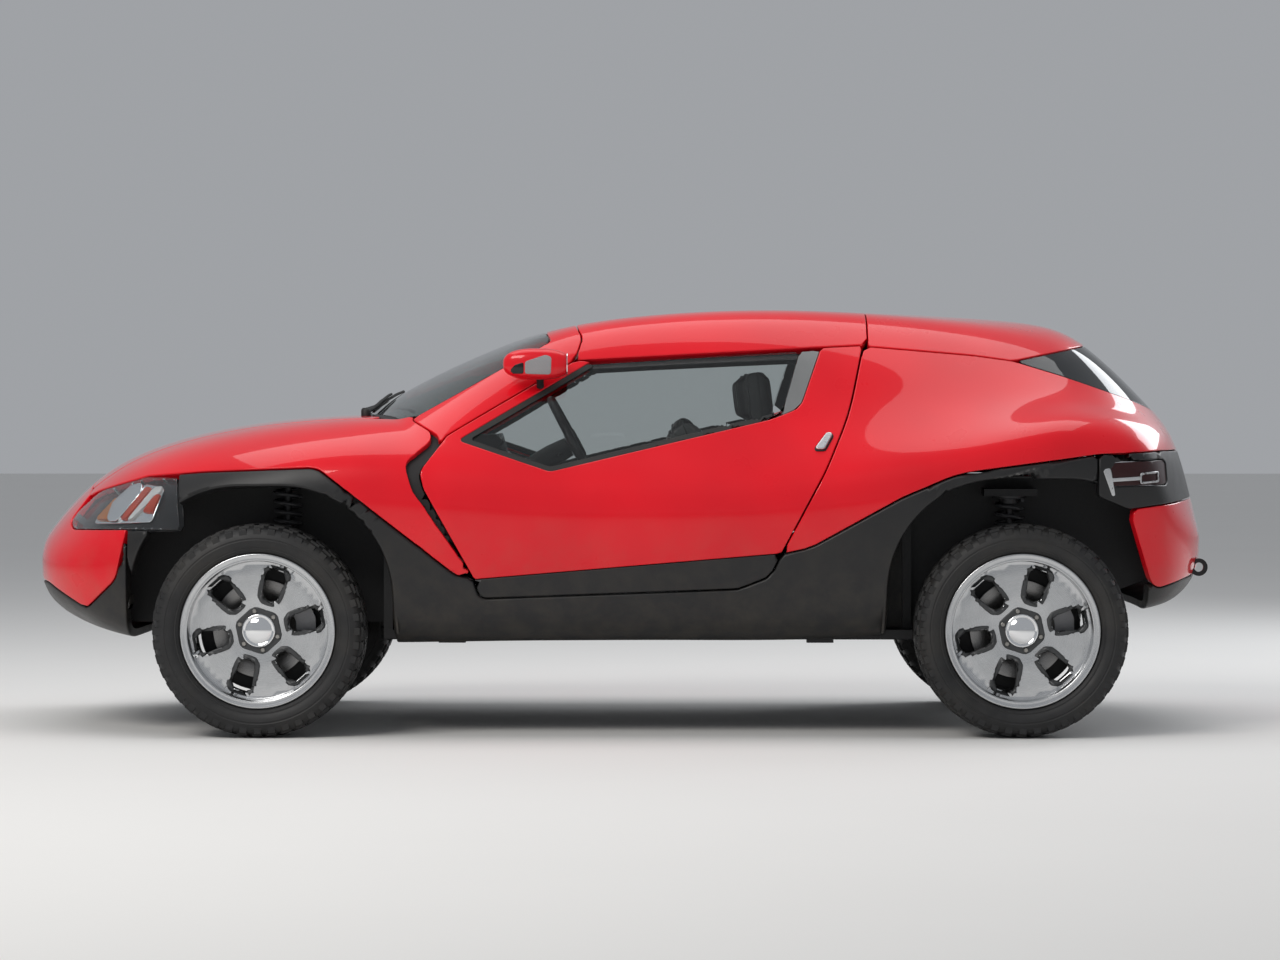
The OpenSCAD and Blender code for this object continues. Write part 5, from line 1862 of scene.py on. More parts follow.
@dataclass
class Wheel:
    """One wheel: rim, frames of its windows, hub plate, cap, brake disc and tyre.

    Attributes:
        name: Place of the wheel, such as front_left.
        axle_x: Its axle's place along the car.
        side: The side of the car.
        half_track: Distance of its middle plane from the middle of the car.
        tyre_radius: Radius over the tread.
        tyre_width: Width of the tyre.
        rim_radius: Radius of the rim.
        windows: Number of openings in the rim.
        first_window: Angle of the first opening in degrees.
        face: Height of the rim's face over the middle plane.
        lug_count: Number of tread blocks in a row.
        groove: Depth of the tread.
    """

    name: str
    axle_x: float
    side: Side
    half_track: float = 800.0
    tyre_radius: float = 356.0
    tyre_width: float = 255.0
    rim_radius: float = 258.0
    windows: int = 6
    first_window: float = 12.0
    face: float = 66.0
    lug_count: int = 44
    groove: float = 8.0

    # Rows of tread blocks: place across the tyre, width, share of the pitch, slant, and shift as a share of it.
    tread_rows = ((0, 30, 0.72, 7, 0.0), (40, 34, 0.70, -7, 0.5), (-40, 34, 0.70, -7, 0.5), (82, 36, 0.66, 4, 0.0),
                  (-82, 36, 0.66, 4, 0.0))
    shoulder = 60

    @property
    def body(self) -> str:
        """The body that the wheel's pieces ride on."""
        return "wheel_" + self.name

    @property
    def carrier(self) -> str:
        """The body that holds the wheel's brake."""
        return "knuckle_" + self.side.word if self.name.startswith("front") else "body"

    @property
    def centre(self) -> Point:
        """The axle's place in metres, in the middle of the car."""
        return (self.axle_x * MM, 0.0, self.tyre_radius * MM)

    def turn(self) -> Matrix:
        """Places local X, Y and outward Z at the wheel.

        Returns:
            The matrix, in metres.
        """
        at = Matrix.Translation((self.axle_x * MM, self.side.value * self.half_track * MM, self.tyre_radius * MM))
        way = Matrix(((1, 0, 0, 0), (0, 0, -1, 0), (0, 1, 0, 0), (0, 0, 0, 1)))
        if self.side is Side.RIGHT:
            way = Matrix.Rotation(math.pi, 4, "Z") @ way
        return at @ way

    def set(self, mesh: bpy.types.Mesh, word: str, finish: Finish, *nodes: str, body: str = "") -> None:
        """Moves a local mesh to the wheel and places it.

        Args:
            mesh: The mesh about the local Z axis.
            word: The piece's name without the wheel's.
            finish: Its finish.
            nodes: The nodes that it stands for.
            body: The body that it rides on, where it isn't the wheel's own.
        """
        mesh.transform(self.turn())
        mesh.name = f"{word}_{self.name}"
        place(mesh, finish, *nodes, body=body or self.body)

    def rim(self) -> None:
        """Dish, frames, hub plate, cap, barrel and bolts."""
        r, face = self.rim_radius, self.face
        end = r - 24.0
        opening = [(98, -28, 24), (98, 28, 24), (end - 22, 50, 22), (end - 22, -50, 22)]
        border = [(87, -37, 33), (87, 37, 33), (end - 12, 60, 30), (end - 12, -60, 30)]
        dish = Dish([(0, face - 4), (60, face - 3), (120, face), (200, face + 1), (r - 32, face),
                     (r - 20, face + 8)])
        holes = []
        for k in range(self.windows):
            t = math.radians(self.first_window + k * 360 / self.windows)
            c, s = math.cos(t), math.sin(t)
            turned = [(x * c - y * s, x * s + y * c, e) for x, y, e in opening]
            holes.append(outside(rounded(turned), -4.0, View.PLAN))
        silver = Turned("rim_silver_" + self.name, (0.60, 0.61, 0.62), 0.26, 0.95, "satin_silver", self.centre)
        disc = Panel(dish, [inside(circle(r - 26), 0.0, View.PLAN), *holes], thickness=16.0, roll=5.0, cell=20.0)
        self.set(disc.mesh("rim_dish"), "rim_dish", silver, "rim_" + self.name)
        ring = Panel(dish, [inside(rounded(border), 0.0, View.PLAN), outside(rounded(opening), -8.0, View.PLAN)],
                     thickness=24.0, sink=-7.0, roll=5.0, cell=19.0).mesh("window_frame")
        frames = round_about(ring, "window_frames", Finishes.frame_grey, self.windows, self.first_window)
        self.set(frames, "window_frames", Finishes.frame_grey)
        plate = rounded([(84 * math.cos(t), 84 * math.sin(t), 26) for t in np.radians(np.arange(6) * 60 + 42)])
        hub = Panel(dish, [inside(plate, 0.0, View.PLAN), outside(circle(48), 0.0, View.PLAN)], thickness=12.0,
                    sink=-4.0, roll=4.0, cell=14.0)
        self.set(hub.mesh("hub_plate"), "hub_plate", Finishes.frame_grey)
        cap = [(0, 40), (56, 40), (56, 70), *arc((51, 70), 5, 0, 90), (47, 73), (44, 71), (38, 76), (24, 80),
               (10, 82), (0, 82)]
        self.set(Shapes.lathe("hub_cap", cap, 64), "hub_cap", Finishes.chrome)
        half = self.tyre_width / 2 - 12
        barrel = [(r - 10, -half), *arc((r - 4, -half + 4), 4, -90, 60, 5), (r - 14, -half + 12), (r - 15, -62),
                  (r - 33, -44), (r - 33, 26), (r - 15, 44), (r - 15, half - 12),
                  *arc((r - 4, half - 4), 4, -60, 90, 5), (r - 9, half - 1),
                  *arc((r - 20, half - 8), 5, 60, 150, 4), (r - 27, face + 12), (r - 29, face - 2),
                  (r - 43, face - 14), (r - 43, -48), (r - 25, -66), (r - 25, -half + 4)]
        self.set(Shapes.lathe("rim_barrel", barrel, 96), "rim_barrel", silver)
        stud = [(0, face - 6), (9, face - 6), (9, face + 3), (7, face + 6), (0, face + 6)]
        bolt = Shapes.lathe("bolt", stud, 6, (66, 0, 0))
        bolts = round_about(bolt, "hub_bolts", Finishes.steel, 6, self.first_window + 30)
        self.set(bolts, "hub_bolts", Finishes.steel)

    def brake(self) -> None:
        """Vented brake disc behind the windows, and its shield."""
        disc = [(30, -60), (86, -60), (88, -50), (92, -48), (164, -48), (165, -50), (165, -53), (158, -53),
                (158, -57), (165, -57), (165, -61), (164, -62), (92, -62), (84, -66), (30, -66)]
        iron = Turned("disc_iron_" + self.name, (0.30, 0.295, 0.29), 0.28, 1.0, "steel", self.centre, 1400.0)
        self.set(Shapes.lathe("brake_disc", disc, 96), "brake_disc", iron)
        shield = [(34, -65), (120, -65), (150, -66), (204, -66), (205, -58), (207, -58), (207, -69), (34, -69)]
        self.set(Shapes.lathe("brake_shield", shield, 72), "brake_shield", Finishes.structure, body=self.carrier)

    def caliper(self) -> None:
        """Brake caliper, on the knuckle in front and on the fixed body behind."""
        shape = rounded([(108, -62, 14), (172, -70, 16), (186, 0, 40), (172, 70, 16), (108, 62, 14), (120, 0, 60)])
        mesh = Shapes.prism("caliper", shape, -44, -22, View.PLAN, 6.0)
        mesh.transform(Matrix.Rotation(math.radians(90 + self.side.value * 78), 4, "Z"))
        self.set(mesh, "caliper", Finishes.caliper, body=self.carrier)

    def tyre(self) -> None:
        """Carcass turned from a profile, with blocks of tread and shoulder lugs round it."""
        r, tr, half, rim = self.rim_radius, self.tyre_radius, self.tyre_width / 2, self.tyre_width / 2 - 12
        foot = tr - self.groove
        side = [(r - 14, rim - 13), (r + 2, rim - 8), (r + 6, rim - 2), (r + 12, rim + 1), (r + 14, rim + 4),
                (r + 18, rim + 4), (r + 20, rim + 6), (r + 34, half - 1), (r + 44, half), (r + 46, half - 1.5),
                (r + 50, half - 1.5), (r + 52, half), (tr - 30, half - 4), (tr - 20, half - 12),
                (foot - 3, half - 30), (foot, half - 48)]
        inner = [(tr - 22, half - 50), (r + 40, half - 14), (r - 14, rim - 36)]
        profile = side + flipped(side) + flipped(inner) + inner
        self.set(Shapes.lathe("tyre_carcass", profile, 120), "tyre_carcass", Finishes.rubber, "tyre_" + self.name)
        blocks = []
        pitch = tr * 2 * math.pi / self.lug_count
        for z, wide, share, skew, shift in self.tread_rows:
            long, start = pitch * share / 2, pitch * shift
            top = tr - 0.4 if abs(z) < self.shoulder else tr - 4.0
            outline = [(z - wide / 2, -long + skew + start), (z + wide / 2, -long - skew + start),
                       (z + wide / 2, long - skew + start), (z - wide / 2, long + skew + start)]
            blocks.append(self.lug(outline, foot - 9.0, top))
        for sign in (1, -1):
            z = sign * (half - 12)
            outline = [(z - 16, -pitch * 0.30), (z + 9, -pitch * 0.24), (z + 9, pitch * 0.24),
                       (z - 16, pitch * 0.30)]
            if sign < 0:
                outline = [(2 * z - a, b) for a, b in outline][::-1]
            blocks.append(self.lug(outline, tr - 52, tr - 14.5))
        tread = round_about(Shapes.join("tread", blocks), "tyre_tread", Finishes.rubber, self.lug_count)
        self.set(tread, "tyre_tread", Finishes.rubber)

    @staticmethod
    def lug(outline: Sequence[Point], base: float, top: float) -> bpy.types.Mesh:
        """One tread block at the end of the local X axis.

        Args:
            outline: Corners as place across the tyre and along its round.
            base: Radius of its foot.
            top: Radius of its crown.

        Returns:
            The mesh.
        """
        bm = bmesh.new()
        rings = []
        mid = np.mean(outline, axis=0)
        for radius, grow in ((base, 1.06), (top, 0.94)):
            ring = []
            for p in outline:
                z, arc_place = mid + (np.array(p) - mid) * grow
                ring.append(bm.verts.new((math.sqrt(max(radius ** 2 - arc_place ** 2, 1.0)), arc_place, z)))
            rings.append(ring)
        bm.faces.new(rings[0])
        crown = bm.faces.new(rings[1][::-1])
        for k in range(4):
            bm.faces.new((rings[0][k], rings[1][k], rings[1][(k + 1) % 4], rings[0][(k + 1) % 4]))
        bmesh.ops.bevel(bm, geom=list(crown.edges), offset=1.6, segments=1, affect="EDGES")
        return Shapes.finish("lug", bm)

    def build(self) -> None:
        """Makes the whole wheel."""
        self.rim()
        self.brake()
        self.caliper()
        self.tyre()


@dataclass
class Lamps:
    """Headlamps behind clear covers, tail lamps and their silver brackets.

    Attributes:
        front: Front end of the right headlamp's housing.
        rear: Its rear end.
        intake: Half width, lowest and highest place of the intake.
        nose_only: Places along the car at which the intake's outlines cut.
        within: How far the lamp's inner pieces stay off the edge of its opening.
    """

    front: Point = (-1690.0, 520.0, 765.0)
    rear: Point = (-1510.0, 680.0, 772.0)
    intake: Point = (360.0, 400.0, 488.0)
    nose_only: Point = (-2100.0, -1800.0)
    within: float = 13.0

    def headlamps(self) -> None:
        """Covers, black bowls, rims, reflectors and coloured segments."""
        recess = ShutLines.lamp_recess()
        sheet("headlamp_covers", Finishes.lens, [inside(recess, 2.0)], "headlamp_lenses", thickness=5.0, sink=3.0,
              roll=2.0, cell=22.0)
        sheet("headlamp_bowls", Finishes.gloss_black, [inside(recess, -3.0)], thickness=5.0, sink=30.0, roll=1.5)
        sheet("headlamp_rims", Finishes.chrome, band(recess, 9.0, 3.0), thickness=30.0, sink=9.0, roll=2.0)
        pieces = (
            ("lamp_bodies", Finishes.chrome, 21.0, 4.0,
             [(-1806, 714, 8), (-1707, 814, 60), (-1628, 858, 20), (-1533, 842, 12), (-1573, 720, 16)]),
            ("amber_segments", Finishes.amber, 12.0, 9.0,
             [(-1788, 724, 6), (-1716, 800, 10), (-1703, 798, 4), (-1740, 724, 4)]),
            ("oval_reflectors", Finishes.chrome, 10.0, 10.0,
             [(-1741, 718, 14), (-1698, 720, 18), (-1616, 815, 24), (-1612, 851, 14), (-1645, 854, 24),
              (-1724, 782, 30)]),
            ("orange_bands", Finishes.orange, 12.0, 9.0,
             [(-1688, 726, 4), (-1668, 726, 4), (-1576, 838, 4), (-1602, 838, 4)]),
            ("white_bands", Finishes.white_band, 12.0, 9.0,
             [(-1662, 724, 4), (-1648, 724, 4), (-1536, 830, 4), (-1540, 842, 4), (-1568, 838, 4)]),
            ("orange_patches", Finishes.orange, 12.0, 9.0,
             [(-1606, 752, 5), (-1566, 750, 5), (-1541, 818, 5), (-1567, 812, 5)]),
        )
        for name, finish, sink, thick, corners in pieces:
            sheet(name, finish, [inside(rounded(corners), 0.0), inside(recess, self.within)], thickness=thick,
                  sink=sink, roll=3.0, cell=15.0)

    def housings(self) -> None:
        """Round housings behind the bowls."""
        start, end = Vector(self.front), Vector(self.rear)
        way = (end - start).normalized()
        path = [tuple(start + way * mm) for mm in (0, 14, 60, 100, 104, 126, 130)] + [tuple(end)]
        right = Shapes.tube("headlamp_housing_right", path, [30, 40, 47, 50, 52, 52, 49, 49], 48)
        left = mirrored(right, "headlamp_housing_left")
        place(right, Finishes.satin, "headlamp_units")
        place(left, Finishes.satin)

    def tail(self) -> None:
        """Ruby lenses with a ribbed inner, silver brackets and the lines beside them."""
        lamp = ShutLines.tail_lamp()
        sheet("tail_lenses", Finishes.ruby, [inside(lamp, 1.0)], "tail_lamps", thickness=6.0, sink=4.0, roll=2.5,
              cell=13.0)
        sheet("tail_reflectors", Finishes.chrome, [inside(lamp, -3.0)], thickness=5.0, sink=20.0, roll=1.0,
              cell=20.0)
        for k, z in enumerate((850, 870, 890)):
            rib = rounded([(1652, z, 3), (1652, z + 8, 3), (1838, z + 13, 3), (1838, z + 5, 3)])
            sheet(f"tail_ribs_{k + 1}", Finishes.orange, [inside(rib, 0.0)], thickness=6.0, sink=12.0, roll=1.5,
                  cell=18.0)
        bracket = rounded([(1612, 893, 6), (1640, 897, 6), (1658, 803, 5), (1646, 803, 5)])
        bar = rounded([(1640, 850, 3), (1640, 862, 3), (1745, 868, 3), (1745, 856, 3)])
        loop = rounded([(1743, 842, 6), (1743, 880, 6), (1812, 886, 6), (1812, 848, 6)])
        for name, lines, sink, thick in (("tail_brackets", [inside(bracket, 0.0)], -1.5, 6.0),
                                         ("tail_bars", [inside(bar, 0.0)], -2.5, 5.0),
                                         ("tail_loops", band(loop, 7.0, 0.0), -2.5, 5.0)):
            sheet(name, Finishes.satin, lines, thickness=thick, sink=sink, roll=2.0, cell=9.0)

    def grille(self) -> None:
        """Slats of the intake, and a dark sheet behind them."""
        half, low, high = self.intake
        slats = []
        for k, z in enumerate(np.arange(low + 10, high - 9, 24.0)):
            line = rounded([(-half + 2, z), (half - 2, z), (half - 2, z + 10), (-half + 2, z + 10)])
            slat = Panel(SKIN, [inside(line, 0.0, View.FRONT, self.nose_only)], thickness=16.0, sink=7.0, roll=3.0,
                         cell=30.0)
            slats.append(slat.mesh(f"slat_{k}"))
        place(Shapes.join("grille_slats", slats), Finishes.grey_satin, "grille", slot="dark_metal")
        half, low, high = half + 14, low - 14, high + 14
        wide = rounded([(-half, low), (half, low), (half, high), (-half, high)])
        sheet("intake_back", Finishes.inner_black, [inside(wide, 0.0, View.FRONT, self.nose_only)], thickness=5.0,
              sink=34.0, roll=1.0, cell=48.0)

    def build(self) -> None:
        """Makes every lamp and the intake."""
        self.headlamps()
        self.housings()
        self.tail()
        self.grille()


@dataclass
class Pad:
    """A stuffed pad with rounded edges and sewn channels, in its own frame of across, along and up.

    Attributes:
        name: Name of the piece.
        size: Width, length and thickness in millimetres.
        at: Its middle.
        lean: Its turn about the car's Y axis in degrees.
        channels: Places of the channels across the width, from -1 to 1.
        crown: Share of the thickness above its middle plane.
        steps: Grid points along each side.
        channel_depth: Depth of a channel.
        channel_reach: Half width of a channel.
        cross_channel: Place of the channels across both ends, from 0 to 1.
        piping: Radius of the piping along its edge.
    """

    name: str
    size: Point
    at: Point
    lean: float
    channels: Sequence[float] = ()
    crown: float = 0.62
    steps: int = 36
    channel_depth: float = 11.0
    channel_reach: float = 16.0
    cross_channel: float = 0.84
    piping: float = 3.2

    def height(self, a: np.ndarray, b: np.ndarray) -> np.ndarray:
        """Height of the top over the middle plane.

        Args:
            a, b: Places across and along, from -1 to 1.

        Returns:
            The heights.
        """
        edge = (1 - np.abs(a) ** 5) * (1 - np.abs(b) ** 5)
        top = self.size[2] * self.crown * np.maximum(edge, 0) ** 0.42
        for c in self.channels:
            reach = self.channel_reach / self.size[0]
            fade = np.clip((0.82 - np.abs(b)) / 0.12, 0, 1)
            top = top - self.channel_depth * fade * np.exp(-((a - c) / reach) ** 2)
        for c in (-self.cross_channel, self.cross_channel) if self.channels else ():
            reach = self.channel_reach / self.size[1]
            fade = np.clip((0.93 - np.abs(a)) / 0.1, 0, 1)
            top = top - 0.7 * self.channel_depth * fade * np.exp(-((b - c) / reach) ** 2)
        return top

    def moved(self, a: np.ndarray, b: np.ndarray, z: np.ndarray) -> np.ndarray:
        """Points of the pad's own frame in the car, where across is Y and along is X.

        Args:
            a, b: Places across and along, from -1 to 1.
            z: Heights over the middle plane.

        Returns:
            Rows of x, y, z.
        """
        frame_here = Matrix.Translation(self.at) @ Matrix.Rotation(math.radians(self.lean), 4, "Y")
        rows = np.column_stack([b * self.size[1] / 2, a * self.size[0] / 2, z, np.ones(len(a))])
        return (rows @ np.array(frame_here).T)[:, :3]

    def top(self, a: np.ndarray, b: np.ndarray, lift: float = 0.0) -> np.ndarray:
        """Points at a distance above the top, in the car."""
        return self.moved(a, b, self.height(a, b) + lift)

    def cover(self) -> bpy.types.Mesh:
        """The pad's closed cover.

        Returns:
            The mesh.
        """
        n = self.steps
        line = np.sin(np.linspace(-1, 1, n) * math.pi / 2)
        a, b = [g.ravel() for g in np.meshgrid(line, line, indexing="ij")]
        under = self.moved(a, b, -self.height(a * 0.999, b * 0.999) * (1 - self.crown) / self.crown)
        i, j = [g.ravel() for g in np.meshgrid(np.arange(n - 1), np.arange(n - 1), indexing="ij")]
        quads = np.column_stack([i * n + j, i * n + j + 1, (i + 1) * n + j + 1, (i + 1) * n + j])
        bm = bmesh.new()
        verts = [bm.verts.new(p) for p in np.vstack([self.top(a, b), under])]
        for f in quads:
            bm.faces.new([verts[k] for k in f])
            bm.faces.new([verts[k + n * n] for k in f[::-1]])
        bmesh.ops.remove_doubles(bm, verts=bm.verts, dist=0.4)
        return Shapes.finish(self.name, bm)

    def build(self, finish: Finish, *nodes: str) -> None:
        """Makes the pad, its edge piping and its stitches.

        Args:
            finish: Its finish.
            nodes: The nodes that it stands for.
        """
        piece = place(self.cover(), finish, *nodes)
        t = np.linspace(0, 2 * math.pi, 97)
        square = np.maximum(np.abs(np.cos(t)), np.abs(np.sin(t))) ** 0.9
        a, b = [np.clip(c / square, -1, 1) * 0.97 for c in (np.cos(t), np.sin(t))]
        place(Shapes.tube(self.name + "_piping", self.top(a, b, 1.0), self.piping, 8), Finishes.hide_grey)
        rows = []
        for c in self.channels:
            beside = np.full(50, c + 9.0 / self.size[0])
            path = self.top(beside, np.linspace(-0.8, 0.8, 50), 0.6)
            rows.append(along(self.name + "_row", Finishes.thread, path, 8.0, (4.6, 0.9)))
        if rows:
            place(Shapes.join(self.name + "_stitches", rows), Finishes.thread)


@dataclass
class Cabin:
    """Seats, dashboard, steering wheel, carpets and linings.

    Attributes:
        seat_y: Distance of a seat's middle from the middle of the car.
        cushion_lean: Turn of the cushions in degrees.
        back_lean: Turn of the backs in degrees.
        wheel_at: Middle of the steering wheel.
        wheel_radius: Radius of the steering wheel.
        wheel_turn: Turn of the steering wheel in degrees.
        dash_half: Half width of the dashboard.
        dash_turn: Turn of the dials and vents in degrees.
        dial: Radius of a dial.
        lever_x: Place of the gear lever along the car.
    """

    seat_y: float = 370.0
    cushion_lean: float = 4.5
    back_lean: float = -113.0
    wheel_at: Point = (-154.0, -370.0, 973.0)
    wheel_radius: float = 185.0
    wheel_turn: float = 62.0
    dash_half: float = 628.0
    dash_turn: float = 76.0
    dial: float = 46.0
    lever_x: float = -120.0

    flutes = (-0.36, -0.12, 0.12, 0.36)
    plinth = [(-215, 352, 10), (-226, 452, 20), (190, 432, 30), (250, 470, 20), (225, 352, 10)]
    shell = [(212, 470, 20), (432, 1046, 20), (487, 1036, 20), (330, 432, 30), (262, 418, 20)]
    dashboard_side = [(-758, 692), (-758, 960), (-560, 982, 60), (-404, 933, 40), (-376, 800, 50), (-520, 644, 60)]
    hood = [(-560, 968, 10), (-540, 1004, 24), (-420, 1006, 24), (-398, 985, 8), (-420, 935, 10)]
    glove_lid = [(-424, 836, 8), (-398, 842, 4), (-408, 726, 8), (-440, 724, 8)]
    pedal = [(-712, 440, 4), (-700, 520, 6), (-692, 518, 4), (-704, 438, 4)]
    mirror = [(-105, 1288, 14), (105, 1288, 14), (105, 1340, 18), (-105, 1340, 18)]

    def seats(self) -> None:
        """Pads, plinth, back shell and headrest of both seats."""
        lean, back = self.cushion_lean, self.back_lean
        for side in Side:
            y, w = side.value * self.seat_y, side.word
            nodes = ["seats"] if side is Side.LEFT else []
            Pad("seat_cushion_" + w, (330, 430, 130), (-28, y, 478), lean, self.flutes).build(Finishes.hide, *nodes)
            Pad("seat_back_" + w, (330, 560, 120), (322, y, 800), back, self.flutes).build(Finishes.hide)
            for edge, word in ((-1, f"outer_{w}"), (1, f"inner_{w}")):
                low, high = (-30, y + edge * 200, 478), (322, y + edge * 198, 790)
                Pad("cushion_bolster_" + word, (92, 430, 175), low, lean).build(Finishes.hide_grey)
                Pad("back_bolster_" + word, (92, 540, 170), high, back).build(Finishes.hide_grey)
            Pad("headrest_" + w, (236, 165, 120), (478, y, 1136), -97.0, (-0.5, 0.5)).build(Finishes.hide)
            plinth = Shapes.prism("seat_plinth_" + w, rounded(self.plinth), y - 205, y + 205, View.SIDE, 14.0)
            place(plinth, Finishes.inner_black)
            shell = Shapes.prism("seat_shell_" + w, rounded(self.shell), y - 232, y + 232, View.SIDE, 16.0)
            place(shell, Finishes.inner_black)
            for k, post_y in enumerate((y - 60, y + 60)):
                post = [(450, post_y, 1030), (462, post_y, 1080)]
                place(Shapes.tube(f"headrest_post_{w}_{k + 1}", post, 7.0), Finishes.satin)

    def dashboard(self) -> None:
        """Padded dashboard with hood, dials, vents and a stitched seam."""
        half, r = self.dash_half, self.dial
        pad = Shapes.prism("dashboard_pad", rounded(self.dashboard_side), -half, half, View.SIDE, 22.0, 4)
        place(pad, Finishes.hide, "dashboard")
        hood = Shapes.prism("dial_hood", rounded(self.hood), -520, -220, View.SIDE, 26.0, 4)
        place(hood, Finishes.inner_black)
        lean = Matrix.Rotation(math.radians(self.dash_turn), 4, "Y")
        for k, y in enumerate((-425, -318)):
            at = (-398, y, 962)
            ring = [(0, 0), (r - 6, 0), (r - 6, 5), (r, 6), (r + 2, 2), (r + 2, -14), (0, -14)]
            place(Shapes.lathe(f"dial_{k + 1}", ring, 48, at, lean), Finishes.gloss_black)
            mark = Shapes.block("mark", (r - 16, -1.2, 0.3), (r - 9, 1.2, 1.2), 0.3)
            marks = round_about(mark, f"dial_marks_{k + 1}", Finishes.white_band, 24)
            marks.transform(Matrix.Translation(Vector(at) * MM) @ lean)
            place(marks, Finishes.white_band)
        vent = [(0, -8), (26, -8), (27, 4), (32, 7), (36, 4), (36, -16), (0, -16)]
        for k, y in enumerate((-570, -120, 120, 570)):
            place(Shapes.lathe(f"air_vent_{k + 1}", vent, 40, (-384, y, 868), lean), Finishes.satin)
        seam = [(-404.7, y, 926) for y in np.linspace(-600, 600, 60)]
        place(along("dashboard_stitches", Finishes.thread, seam, 9.0, (5.5, 1.0)), Finishes.thread)
        lid = Shapes.prism("glove_lid", rounded(self.glove_lid), 190, 540, View.SIDE, 6.0)
        place(lid, Finishes.hide_grey)

    def steering(self) -> None:
        """Rim, spokes, hub, column and stalks of the steering wheel."""
        r, at = self.wheel_radius, self.wheel_at
        turn = Matrix.Rotation(math.radians(self.wheel_turn), 4, "Y")
        ring = Shapes.lathe("steering_rim", arc((r - 15, 0), 14.5, 0, 345, 23), 96, at, turn)
        place(ring, Finishes.hide, "steering_wheel")
        hub = [(0, 20), *arc((44, 10), 10, 90, 0), (54, -16), (40, -20), (0, -20)]
        place(Shapes.lathe("steering_hub", hub, 48, at, turn), Finishes.inner_black)
        bar = Shapes.block("spoke", (40, -17, -6), (r - 17, 17, 6), 5.0)
        spokes = round_about(bar, "steering_spokes", Finishes.satin, 3, 90)
        spokes.transform(Matrix.Translation(Vector(at) * MM) @ turn)
        place(spokes, Finishes.satin)
        column = [(0, -20), (34, -22), (38, -90), (33, -200), (30, -275), (0, -275)]
        place(Shapes.lathe("steering_column", column, 40, at, turn), Finishes.inner_black)
        for k, s in enumerate((-1, 1)):
            path = [Matrix.Translation(at) @ turn @ Vector((10, s * d, -62)) for d in (34, 80, 120, 128)]
            place(Shapes.tube(f"column_stalk_{k + 1}", path, [5.5, 5.0, 6.5, 3.0], 12), Finishes.inner_black)

    def linings(self) -> None:
        """Carpets and the lining of the roof."""
        for side in Side:
            y0, y1 = sorted((side.value * 122.0, side.value * 634.0))
            mat = Shapes.block("floor_carpet_" + side.word, (-752, y0, 350.4), (952, y1, 357), 3.0)
            place(mat, Finishes.carpet)
        for name, low, high, bevel in (("tunnel_carpet", (-756, -117, 351), (954, 117, 526), 22.0),
                                       ("rear_wall_carpet", (953.5, -610, 360), (959.6, 610, 894), 2.5),
                                       ("boot_carpet", (996, -480, 630.4), (1800, 480, 637), 3.0)):
            place(Shapes.block(name, low, high, bevel), Finishes.carpet)
        sheet("roof_lining", Finishes.hide_grey, [inside(ShutLines.roof(), 8.0)], thickness=5.0, sink=40.0, roll=2.0,
              cell=44.0)
        sheet("rear_roof_lining", Finishes.hide_grey, [inside(ShutLines.rear_roof(), 10.0)], thickness=5.0,
              sink=34.0, roll=2.0, cell=44.0)

    def controls(self) -> None:
        """Gear lever, pedals and the inner mirror."""
        lever = (self.lever_x, 0, 0)
        knob = [(0, 610), (13, 612), *arc((0, 640), 22, -60, 90, 10)]
        place(Shapes.lathe("gear_knob", knob, 32, lever), Finishes.hide)
        gaiter = [(0, 525), (52, 525), (50, 532), (38, 545), (34, 552), (26, 562), (23, 570), (16, 582), (11, 590),
                  (8, 612), (0, 612)]
        place(Shapes.lathe("gear_gaiter", gaiter, 32, lever), Finishes.hide_grey)
        for k, (y, wide) in enumerate(((-470, 44), (-370, 50), (-270, 38))):
            sides = y - wide / 2, y + wide / 2
            place(Shapes.prism(f"pedal_{k + 1}", rounded(self.pedal), *sides, View.SIDE, 2.0), Finishes.satin)
            arm = [(-706, y, 515), (-722, y, 620), (-728, y, 700)]
            place(Shapes.tube(f"pedal_arm_{k + 1}", arm, 7.0, 10), Finishes.structure)
        glass = Shapes.prism("cabin_mirror", rounded(self.mirror), -262, -238, View.FRONT, 8.0)
        place(glass, Finishes.inner_black)
        stem = Shapes.tube("cabin_mirror_stem", [(-252, 0, 1330), (-262, 0, 1352)], 9.0, 12)
        place(stem, Finishes.inner_black)

    def build(self) -> None:
        """Makes the whole cabin."""
        self.seats()
        self.dashboard()
        self.steering()
        self.linings()
        self.controls()


